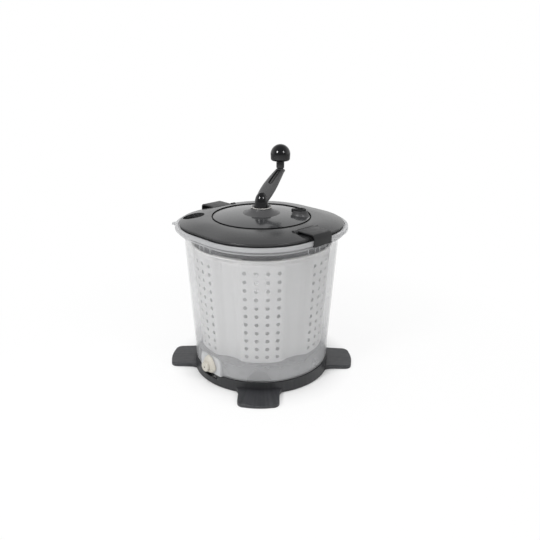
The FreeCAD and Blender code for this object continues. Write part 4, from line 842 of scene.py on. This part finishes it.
def hub_grid(crank):
    """Bullet hub: a slightly tapered drum under a tall round dome."""
    quarter = np.linspace(0, math.pi / 2, 18)[:-1]
    rise = crank.hub_top - crank.hub_dome
    dome = np.stack([crank.hub_radius * np.cos(quarter), crank.hub_dome + rise * np.sin(quarter)], axis=1)
    low, wide = crank.hub_low, crank.hub_foot
    return lathe(np.vstack([[(AXIS_CAP, low), (wide, low), (wide, low + 2 * MM)], dome]), 72)


def stem_grid(crank):
    """Stem of the knob: a waist in the arm, a thicker neck under the knob and a thin spindle inside it."""
    foot, neck, low = crank.arm_high - 3 * MM, crank.knob_low - crank.neck_long, crank.knob_low
    thin, radius, waist = crank.spindle, crank.stem_radius, crank.stem_waist
    top = crank.knob_top - crank.crown
    profile = soften(
        [
            (AXIS_CAP, foot), (waist, foot), (waist, neck - 1 * MM), (radius, neck), (radius, low),
            (thin, low), (thin, top), (AXIS_CAP, top),
        ],
        np.array([0.3, 0.3, 0.5, 0.4, 0.2, 0.5]) * MM,
    )
    return lathe(profile, 56, knob_centre(crank))


def knob_centre(crank):
    return crank.throw * math.cos(crank.turn), crank.throw * math.sin(crank.turn)


def arm_grid(crank, columns=180):
    """Squared oval sections square to a rising centre line, with a round end and a slot sunk in the top.

    With s from 0 at the hub to 1 at the knob and b the bow, the line rises by (1 + b) s - b s squared of its
    whole rise and the width is a cubic curve of s. Past the knob the width falls as a quarter circle. With
    the points comes the share of painted shade along the slot's edge: dark round its rim, lighter on its
    floor.
    """
    straight = np.linspace(0, crank.throw, 130)
    quarter = np.linspace(0, math.pi / 2, 24)[1:-1]
    along = np.concatenate([straight, crank.throw + crank.arm_end / 2 * np.sin(quarter)])[:, None]
    close = np.concatenate([np.ones(len(straight)), np.cos(quarter)])[:, None]
    s = np.minimum(along / crank.throw, 1)
    rise, bow = crank.arm_high - crank.arm_low, crank.arm_bow
    height = crank.arm_low + rise * ((1 + bow) * s - bow * s * s)
    slope = np.arctan2(rise * (1 + bow - 2 * bow * s), crank.throw)
    width = crank.arm_root * (1 - s) ** 3 + 3 * crank.arm_belly * s * (1 - s) ** 2
    width = width + 3 * crank.arm_taper * s * s * (1 - s) + crank.arm_end * s ** 3
    deep = (crank.arm_deep + (crank.arm_thin - crank.arm_deep) * s) * np.sqrt(close)
    cosine, sine = np.cos(round_steps(columns)), np.sin(round_steps(columns))
    aside = width / 2 * close * np.sign(cosine) * np.abs(cosine) ** ARM_SQUARE
    up = deep * np.sign(sine) * np.abs(sine) ** ARM_SQUARE

    reach = (crank.slot_stop - crank.slot_start) / 2 - crank.slot_half
    past = np.maximum(np.abs(along - (crank.slot_start + crank.slot_stop) / 2) - reach, 0)
    inside = crank.slot_half - np.hypot(past, aside)
    up = up - crank.slot_deep * ease(inside, *SLOT_EDGE) * (sine > 0)
    # Painted shade: dark along the slot's edge, lighter on the slot's floor
    rim = -np.where(aside < 0, SHADE_RIGHT, SHADE_LEFT)
    dark = (sine > 0) * (ease(inside, rim, rim / 2) - (1 - SLOT_FLOOR_SHADE) * ease(inside, *SLOT_SHADE_FADE))
    return turned_to(crank.turn, along - up * np.sin(slope), aside, height + up * np.cos(slope)), dark


def knob_grid(crank):
    """Ball knob: half a ball over a short skirt with a round lower edge, and a blind hole for the spindle."""
    edge, radius = crank.knob_edge, crank.knob_radius
    bore, roof = crank.spindle + SPINDLE_GAP, crank.knob_top - crank.crown + SPINDLE_GAP
    quarter = np.linspace(0, math.pi / 2, 20)
    side = radius - 0.5 * MM
    low = crank.knob_low + 0.4 * MM
    foot = np.stack([side - edge + edge * np.sin(quarter), low + edge * (1 - np.cos(quarter))], axis=1)
    middle = crank.knob_top - radius
    crown = np.stack([radius * np.cos(quarter[:-1]), middle + radius * np.sin(quarter[:-1])], axis=1)
    hole = [(AXIS_CAP, roof), (bore, roof), (bore, low)]
    return lathe(np.vstack([hole, foot, crown]), 72, knob_centre(crank))


class WASHER_OT_crank(Operator):
    """Mould the crank's hub, slotted arm and stem, and the ball knob"""

    bl_idname = "washer.crank"
    bl_label = "Crank"

    def execute(self, context):
        crank = context.scene.washer_crank
        gloss = crank_plastic()
        arm, dark = arm_grid(crank)
        stands_for(skin("slotted_arm", arm, dark=dark), "crank_arm", arm_plastic())
        stands_for(skin("bullet_hub", hub_grid(crank)), "crank_arm", gloss)
        stands_for(skin("knob_stem", stem_grid(crank)), "knob_post", gloss)
        knob = stands_for(skin("ball_knob", knob_grid(crank)), "crank_knob", gloss)
        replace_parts(knob, "knob_cap")
        return {"FINISHED"}


# Collars and seal on the lid

COLLAR_COLUMNS = 96
FLARE = 2.2


def collar_profile(radius, top, bore, foot, low):
    """Closed section of a concave collar: a flare under a rim.

    With u from 0 at the foot to 1 under the rim, the flare stands out past the rim by a power of 1 - u.
    """
    u = np.linspace(0, 1, 16)
    shoulder = top - 0.8 * MM
    flare = np.stack([radius + (foot - radius) * (1 - u) ** FLARE, low + (shoulder - low) * u], axis=1)
    rim = [
        (radius - 0.7 * MM, top), (radius - 1.4 * MM, top - 0.3 * MM), (bore + 0.5 * MM, shoulder),
        (bore, top - 1.2 * MM), (bore, low),
    ]
    return np.vstack([flare, rim])


def highlit_rim(grid, lid):
    """1 along the crank collar's outer rim, where a pale painted highlight goes, and 0 elsewhere."""
    edge = np.hypot(grid[..., 0], grid[..., 1]) > lid.collar_radius - 1 * MM
    return edge * ease(grid[..., 2], lid.collar_top - 1 * MM, lid.collar_top - 0.6 * MM)


def eight_sided(grid, lid):
    """Turn the crank collar's outer rim to eight flat sides, which fade out down the flare.

    The radius is that of an octagon, the middle of a side over the cosine of the angle from it.
    """
    x, y, height = grid[..., 0], grid[..., 1], grid[..., 2]
    turn = (np.arctan2(y, x) + math.pi / 8) % (math.pi / 4) - math.pi / 8
    top = ease(height, lid.collar_top - 5 * MM, lid.collar_top - 1 * MM)
    top = top * (np.hypot(x, y) > lid.collar_radius - 2 * MM)
    size = 1 + top * (lid.collar_flats / np.cos(turn) - 1)
    return np.stack([x * size, y * size, height], axis=-1)


def gap_shade_profile(lid):
    """Closed section of the black ring that stands in for the shadow in the gap round the disc, as painted
    shade: a half round bead over a strip a little wider than the groove.
    """
    half_turn = np.linspace(0, math.pi, 12)
    half = (lid.groove_out - lid.groove_in) / 2 + 0.25 * MM
    middle, low = (lid.groove_out + lid.groove_in) / 2, lid.shade_ring_low
    height = low + 1 * MM + lid.shade_ring_rise * np.sin(half_turn)
    bead = np.stack([middle + half * np.cos(half_turn), height], axis=1)
    return np.vstack([[(middle + half, low)], bead, [(middle - half, low)]])


class WASHER_OT_collars(Operator):
    """Mould the crank's collar with a painted highlight on its rim, the filler's collar and a black ring that
    stands in for the shade in the gap round the centre disc
    """

    bl_idname = "washer.collars"
    bl_label = "Collars"

    def execute(self, context):
        lid = context.scene.washer_lid
        finish = collar_plastic()
        crank_sizes = lid.collar_radius, lid.collar_top, lid.collar_bore, lid.collar_foot, lid.collar_low
        filler_sizes = lid.filler_radius, lid.filler_top, lid.filler_bore, lid.filler_foot, lid.filler_low
        crank = lathe(collar_profile(*crank_sizes), COLLAR_COLUMNS)
        filler = lathe(collar_profile(*filler_sizes), COLLAR_COLUMNS, (lid.filler_out, 0.0))
        # Painted highlight along the crank collar's rim
        rubbed = highlit_rim(crank, lid)
        goes_with(skin("crank_collar", eight_sided(crank, lid), loop=True, rubbed=rubbed), "lid_disc", finish)
        goes_with(skin("filler_collar", filler, loop=True), "lid_disc", finish)
        # Black ring in the groove round the disc: painted shade for the gap there
        goes_with(skin("disc_seal", lathe(gap_shade_profile(lid), 240), loop=True), "lid_gasket", gap_shade_black())
        return {"FINISHED"}


# Tap


def tap_grid(tap, columns=96):
    """Stem through the wall and a hood whose pear outline shrinks towards the handle.

    With u from 0 at the wall to 1 at the handle, the outline's size is 1 less the taper times u squared.
    """
    pad_height = bpy.context.scene.washer_tub.pad_height
    u = np.concatenate([[0, 0], np.linspace(0, 1, 14) ** 0.8])[:, None]
    out = tap.seat + (tap.front - tap.seat) * u
    out[0] = tap.stem_end
    size = 1 - tap.taper * u * u
    cosine, sine = np.cos(round_steps(columns)), np.sin(round_steps(columns))
    aside = tap.half * size * cosine * (1 - tap.pear * np.maximum(sine, 0))
    up = np.where(sine > 0, tap.rise, tap.drop) * size * sine
    aside[:2], up[:2] = tap.stem * cosine, tap.stem * sine
    return turned_to(TAP_BEARING, out, aside, pad_height + up)


class WASHER_OT_tap(Operator):
    """Mould the drain tap's hooded body"""

    bl_idname = "washer.tap"
    bl_label = "Tap"

    def execute(self, context):
        stands_for(skin("hooded_tap", tap_grid(context.scene.washer_tap)), "tap_body", tap_plastic())
        return {"FINISHED"}


# Node materials


class Nodes:
    """A node tree under construction, with helpers that add and link nodes."""

    def __init__(self, tree):
        self.tree = tree

    def add(self, kind, inputs=None, **settings):
        node = self.tree.nodes.new(kind)
        for key, value in settings.items():
            setattr(node, key, value)
        for key, value in (inputs or {}).items():
            self.feed(node.inputs[key], value)
        return node

    def feed(self, socket, value):
        if isinstance(value, bpy.types.NodeSocket):
            self.tree.links.new(value, socket)
        else:
            socket.default_value = value

    def between(self, value, low, high, start=0.3, stop=0.7):
        """Low where a value is at its start and high where it is at its stop, in a straight ramp."""
        inputs = {"Value": value, "From Min": start, "From Max": stop, "To Min": low, "To Max": high}
        return self.add("ShaderNodeMapRange", inputs).outputs["Result"]

    def maths(self, operation, first, second):
        return self.add("ShaderNodeMath", {0: first, 1: second}, operation=operation).outputs["Value"]

    def span(self, vector):
        """Length of a vector."""
        return self.add("ShaderNodeVectorMath", {"Vector": vector}, operation="LENGTH").outputs["Value"]


class Shader(Nodes):
    """A Principled material under construction."""

    def __init__(self, name):
        self.material = bpy.data.materials.new(name)
        self.material.use_nodes = True
        super().__init__(self.material.node_tree)
        self.body = self.tree.nodes["Principled BSDF"]
        self.place = self.add("ShaderNodeTexCoord").outputs["Object"]

    def set(self, **sockets):
        for key, value in sockets.items():
            self.feed(self.body.inputs[key.replace("_", " ").title().replace("Ior", "IOR")], value)
        return self

    def fed(self, name):
        """What is linked to a socket of the material so far."""
        return self.body.inputs[name].links[0].from_socket

    def attribute(self, name):
        """Number that the mesh holds for each point."""
        return self.add("ShaderNodeAttribute", attribute_name=name).outputs["Fac"]

    def noise(self, scale, detail=3.0, stretch=(1, 1, 1)):
        """Noise in 0 to 1 at a number of features per metre, stretched along the axes."""
        mapping = self.add("ShaderNodeMapping", {"Vector": self.place, "Scale": stretch})
        inputs = {"Vector": mapping.outputs["Vector"], "Scale": scale, "Detail": detail}
        return self.add("ShaderNodeTexNoise", inputs).outputs["Fac"]

    def radius(self):
        """Distance from the upright axis."""
        inputs = {"Vector": self.place, 1: (1, 1, 0)}
        return self.span(self.add("ShaderNodeVectorMath", inputs, operation="MULTIPLY").outputs["Vector"])

    def mix(self, amount, first, second):
        node = self.add("ShaderNodeMix", {"Factor": amount}, data_type="RGBA")
        self.feed(node.inputs["A"], first)
        self.feed(node.inputs["B"], second)
        return node.outputs["Result"]

    def shade(self, amount):
        """Multiply the colour so far by a number."""
        inputs = {"Vector": self.fed("Base Color"), "Scale": amount}
        scaled = self.add("ShaderNodeVectorMath", inputs, operation="SCALE")
        return self.set(base_color=scaled.outputs["Vector"])

    def blend(self, amount, tone):
        """Mix another tone over the colour so far."""
        return self.set(base_color=self.mix(amount, self.fed("Base Color"), (*tone, 1.0)))

    def tint(self, value, tone, darker, lighter):
        """A colour that drifts between darker and lighter shares of one tone."""
        dark, light = ([min(1.0, part * amount) for part in tone] for amount in (darker, lighter))
        return self.mix(value, (*dark, 1.0), (*light, 1.0))

    def bump(self, value, depth, strength=1.0):
        inputs = {"Height": value, "Distance": depth, "Strength": strength}
        return self.add("ShaderNodeBump", inputs).outputs["Normal"]


def settings():
    return bpy.context.scene.washer_colours


def moulded(name, colour_name, rough, grain, depth, drift=0.08, spread=0.06):
    """Moulded plastic: slow drift of tone, uneven gloss and a fine grain in the surface."""
    shader = Shader(name)
    tone = getattr(settings(), colour_name)
    slow = shader.noise(14.0, 2.0)
    fine = shader.noise(grain, 4.0)
    shader.set(
        base_color=shader.tint(slow, tone, 1 - drift, 1 + drift),
        roughness=shader.between(fine, rough - spread, rough + spread),
        normal=shader.bump(fine, depth),
    )
    return shader


def stand_plastic():
    """Satin plastic with faint flow lines that run out along the feet, and painted shade that darkens the
    ring under the tub.
    """
    shader = moulded("stand_satin_plastic", "stand", rough=0.4, grain=120.0, depth=0.006 * MM)
    parts = shader.add("ShaderNodeSeparateXYZ", {"Vector": shader.place}).outputs
    bearing = shader.maths("ARCTAN2", parts["Y"], parts["X"])
    inputs = {"W": bearing, "Scale": 26.0, "Detail": 1.0}
    lines = shader.add("ShaderNodeTexNoise", inputs, noise_dimensions="1D").outputs["Fac"]
    # Painted shade: the ring under the tub darker towards the tub's foot
    ring = shader.between(shader.radius(), 0.35, 1.0, 139 * MM, 151 * MM)
    return shader.shade(shader.between(lines, 0.8, 1.2)).shade(ring).material


def lid_plastic():
    """Glossy plastic with a painted shadow line low on its edge, where it meets the tub's bead."""
    shader = moulded("lid_gloss_plastic", "lid", rough=0.25, grain=45.0, depth=0.004 * MM, spread=0.02)
    height = shader.add("ShaderNodeSeparateXYZ", {"Vector": shader.place}).outputs["Z"]
    # Painted shadow: near black below 310.4 mm on the lid's edge, where it sits in the tub's groove
    return shader.shade(shader.between(height, 0.05, 1.0, 310.4 * MM, 311.4 * MM)).material


def disc_plastic():
    shader = moulded("disc_polished_plastic", "disc", rough=0.14, grain=40.0, depth=0.003 * MM, spread=0.02)
    return shader.material


def collar_plastic():
    """Satin plastic of the collars, with a pale painted highlight along the crank collar's rim."""
    shader = moulded("collar_satin_plastic", "collar", rough=0.42, grain=60.0, depth=0.003 * MM)
    return shader.blend(shader.attribute("rubbed"), settings().rim_highlight).material


def gap_shade_black():
    """Dull black of the ring round the disc that stands in for the shadow in the gap there: painted shade."""
    shader = moulded("seam_black_rubber", "seam", rough=0.8, grain=900.0, depth=0.02 * MM, drift=0.15)
    return shader.set(specular_ior_level=0.05).material


def crank_plastic():
    shader = moulded("crank_gloss_plastic", "crank", rough=0.08, grain=60.0, depth=0.003 * MM, spread=0.02)
    return shader.material


def arm_plastic():
    """Satin plastic with painted shade along the edge of the slot, and rougher there."""
    shader = moulded("arm_satin_plastic", "arm", rough=0.28, grain=80.0, depth=0.005 * MM)
    dark = shader.attribute("dark")
    rough = shader.between(dark, shader.fed("Roughness"), 0.9, 0.0, 1.0)
    return shader.shade(shader.between(dark, 1.0, 0.03, 0.0, 1.0)).set(roughness=rough).material


def latch_plastic():
    shader = moulded("latch_satin_plastic", "latch", rough=0.42, grain=90.0, depth=0.005 * MM)
    return shader.set(specular_ior_level=0.35).material


def tub_plastic():
    """Milky plastic that shows the basket through it, cloudier where it is thick and greyer at the lip, with
    painted light low on the wall and painted shade under the rim.
    """
    shader = moulded("tub_milky_plastic", "tub", rough=0.3, grain=60.0, depth=0.01 * MM, drift=0.02)
    shader.shade(shader.between(shader.attribute("lip"), 1.0, 0.8, 0.0, 1.0))
    streaks = shader.between(shader.noise(30.0, 2.0, (1, 1, 0.12)), 0.97, 1.03)
    cloud = shader.maths("MULTIPLY", shader.attribute("cloud"), streaks)
    return shader.set(alpha=cloud, specular_ior_level=0.35).material


def basket_plastic():
    """White plastic that is thin enough to let some light through."""
    shader = moulded("basket_white_plastic", "basket", rough=0.45, grain=500.0, depth=0.02 * MM, drift=0.03)
    shader.set(subsurface_weight=0.9, subsurface_radius=(1, 1, 1), subsurface_scale=9 * MM)
    return shader.material


def tap_plastic():
    """Cream plastic with a dark spot painted on the tap's axis, as the shade in a pin hole."""
    shader = moulded("tap_cream_plastic", "tap", rough=0.35, grain=500.0, depth=0.02 * MM, drift=0.05)
    foot = (0, 0, bpy.context.scene.washer_tub.pad_height)
    from_axis = shader.add("ShaderNodeVectorMath", {"Vector": shader.place, 1: foot}, operation="SUBTRACT")
    axis = (math.cos(TAP_BEARING), math.sin(TAP_BEARING), 0)
    inputs = {"Vector": from_axis.outputs["Vector"], 1: axis}
    turned = shader.add("ShaderNodeVectorMath", inputs, operation="CROSS_PRODUCT").outputs["Vector"]
    # Painted shade: near black within 1.4 mm of the tap's axis, in place of a pin hole
    return shader.shade(shader.between(shader.span(turned), 0.02, 1.0, 1.4 * MM, 1.7 * MM)).material


def gear_plastic():
    shader = moulded("gear_natural_plastic", "gear", rough=0.4, grain=600.0, depth=0.02 * MM, drift=0.05)
    return shader.material


def cover_plastic():
    return moulded("cover_grey_plastic", "stand", rough=0.45, grain=700.0, depth=0.03 * MM).material


def black_rubber():
    shader = moulded("black_rubber", "rubber", rough=0.62, grain=1400.0, depth=0.04 * MM, drift=0.15)
    return shader.set(specular_ior_level=0.15).material


def ground_steel():
    """Steel with turning marks round its axis and a slightly uneven shine."""
    shader = moulded("ground_steel", "steel", rough=0.3, grain=300.0, depth=0.004 * MM)
    shader.set(metallic=1.0)
    marks = shader.noise(120.0, 2.0, (1, 1, 60))
    shader.set(roughness=shader.between(marks, 0.22, 0.4))
    return shader.material


SLOT_FINISHES = {
    "stand_plastic": stand_plastic,
    "rubber": black_rubber,
    "screw_steel": ground_steel,
    "tub_plastic": tub_plastic,
    "pin_steel": ground_steel,
    "washer_plastic": gear_plastic,
    "tap_plastic": tap_plastic,
    "basket_plastic": basket_plastic,
    "lid_plastic": lid_plastic,
    "disc_plastic": disc_plastic,
    "gear_plastic": gear_plastic,
    "cover_plastic": cover_plastic,
    "crank_plastic": crank_plastic,
}


class WASHER_OT_finishes(Operator):
    """Give every carried-over piece of the frame its finish"""

    bl_idname = "washer.finishes"
    bl_label = "Finishes"

    def execute(self, context):
        made = {}
        for row in frame["record"]["subparts"]:
            make = SLOT_FINISHES[row["material_slot"]]
            if make not in made:
                made[make] = make()
            node = NODES[row["node"]]
            node.data.materials.clear()
            node.data.materials.append(made[make])
        return {"FINISHED"}


# Stage

FLOOR_HALF = 6.0
SENSOR_WIDTH = 36.0

# Name, place, size, power in watts and whether it shows in reflections
LAMPS = (
    ("softbox_left", (-1.2, -1.35, 1.5), (0.5, 0.6), 25.0, True),
    ("softbox_right", (1.3, -1.3, 1.5), (0.5, 0.6), 11.0, True),
    ("softbox_top", (0.0, 0.2, 1.9), (1.6, 1.6), 11.0, False),
)


def lamp(name, place, size, power, mirrored, target):
    """Soft rectangular lamp that points at a target."""
    light = bpy.data.lights.new(name, "AREA")
    light.shape = "RECTANGLE"
    light.size, light.size_y = size
    light.energy = power
    holder = bpy.data.objects.new(name, light)
    holder.location = place
    aim = np.array(target) - np.array(place)
    flat = math.hypot(aim[0], aim[1])
    holder.rotation_euler = (math.atan2(flat, -aim[2]), 0, math.atan2(-aim[0], aim[1]))
    holder.visible_glossy = mirrored
    bpy.context.scene.collection.objects.link(holder)


def white_room(fill):
    """World that is white to the camera and gives the object soft light.

    In reflections it is greyer overhead and in front.
    """
    world = bpy.data.worlds.new("white_room")
    world.use_nodes = True
    nodes = Nodes(world.node_tree)
    nodes.tree.nodes.clear()
    path = nodes.add("ShaderNodeLightPath").outputs
    direction = nodes.add("ShaderNodeTexCoord").outputs["Generated"]
    aim = nodes.add("ShaderNodeSeparateXYZ", {"Vector": direction}).outputs
    overhead = nodes.between(aim["Z"], 1.0, 0.3, 0.3, 0.95)
    mirrored = nodes.between(aim["Y"], 0.25, overhead, -0.5, 0.1)
    soft = nodes.between(path["Is Glossy Ray"], fill, mirrored, 0.0, 1.0)
    clear = nodes.between(path["Is Transmission Ray"], soft, 1.0, 0.0, 1.0)
    seen = nodes.between(path["Is Camera Ray"], clear, 1.0, 0.0, 1.0)
    background = nodes.add("ShaderNodeBackground", {"Color": (1, 1, 1, 1), "Strength": seen})
    nodes.add("ShaderNodeOutputWorld", {"Surface": background.outputs["Background"]})
    bpy.context.scene.world = world


def floor_paint(tone, glow):
    """Pale floor with its own white for the camera.

    There is none of it under the object, some beside the object and all of it further off.
    """
    shader = Shader("studio_floor")
    shader.set(base_color=(*tone, 1), roughness=0.9)
    path = shader.add("ShaderNodeLightPath").outputs["Is Camera Ray"]
    away = shader.span(shader.place)
    beside = shader.between(away, 0.0, glow, 0.14, 0.2)
    beyond = shader.between(away, 0.0, 1 - glow, 0.25, 0.7)
    amount = shader.maths("MULTIPLY", shader.maths("ADD", beside, beyond), path)
    white = shader.add("ShaderNodeEmission", {"Strength": 1.0}).outputs["Emission"]
    inputs = {"Fac": amount, 1: shader.body.outputs["BSDF"], 2: white}
    mixed = shader.add("ShaderNodeMixShader", inputs).outputs["Shader"]
    shader.feed(shader.tree.nodes["Material Output"].inputs["Surface"], mixed)
    return shader.material


class WASHER_OT_stage(Operator):
    """Set up the floor, the soft lamps, the white room and the camera at the photo's angle"""

    bl_idname = "washer.stage"
    bl_label = "Stage"

    def execute(self, context):
        scene = context.scene
        stage = scene.washer_stage
        scene.view_settings.view_transform = "Standard"
        mesh = bpy.data.meshes.new("studio_floor")
        corners = FLOOR_HALF * np.array([(-1, -1, 0), (1, -1, 0), (1, 1, 0), (-1, 1, 0)])
        mesh.from_pydata(corners, [], [(0, 1, 2, 3)])
        mesh.materials.append(floor_paint(scene.washer_colours.floor, stage.glow))
        floor = bpy.data.objects.new("studio_floor", mesh)
        scene.collection.objects.link(floor)
        white_room(stage.fill)
        for row in LAMPS:
            lamp(*row, target=(0, 0, CAD_BOX[1][2] / 2))
        data = bpy.data.cameras.new("photo_camera")
        data.sensor_width = SENSOR_WIDTH
        data.lens = data.sensor_width * stage.focal / PHOTO_SIDE
        data.shift_x = (PHOTO_SIDE / 2 - stage.axis_column) / PHOTO_SIDE
        camera = bpy.data.objects.new("photo_camera", data)
        side, ahead = math.sin(stage.bearing), math.cos(stage.bearing)
        camera.location = (stage.distance * side, -stage.distance * ahead, stage.height)
        camera.rotation_euler = (math.pi / 2 - stage.pitch, 0, stage.bearing)
        scene.collection.objects.link(camera)
        scene.camera = camera
        return {"FINISHED"}


class WASHER_PT_panel(Panel):
    """Lists the steps that dress the washer"""

    bl_label = "Hand-Crank Washer"
    bl_idname = "WASHER_PT_panel"
    bl_space_type = "VIEW_3D"
    bl_region_type = "UI"
    bl_category = "Washer"

    def draw(self, context):
        for step in STEPS:
            self.layout.operator(step.bl_idname)
        scene = context.scene
        for key in GROUPS:
            box = self.layout.box()
            group = getattr(scene, key)
            for name in group.__annotations__:
                box.prop(group, name)


GROUPS = {
    "washer_colours": WasherColours,
    "washer_tub": WasherTub,
    "washer_basket": WasherBasket,
    "washer_lid": WasherLid,
    "washer_crank": WasherCrank,
    "washer_tap": WasherTap,
    "washer_stage": WasherStage,
}
STEPS = (
    WASHER_OT_finishes,
    WASHER_OT_tub,
    WASHER_OT_basket,
    WASHER_OT_latches,
    WASHER_OT_collars,
    WASHER_OT_crank,
    WASHER_OT_tap,
    WASHER_OT_stage,
)
CLASSES = (*GROUPS.values(), *STEPS, WASHER_PT_panel)


def register():
    for cls in CLASSES:
        bpy.utils.register_class(cls)
    for key, group in GROUPS.items():
        setattr(bpy.types.Scene, key, PointerProperty(type=group))


def unregister():
    for key in GROUPS:
        delattr(bpy.types.Scene, key)
    for cls in reversed(CLASSES):
        bpy.utils.unregister_class(cls)


def main():
    register()
    for step in STEPS:
        group, name = step.bl_idname.split(".")
        getattr(getattr(bpy.ops, group), name)()


if __name__ == "__main__":
    main()
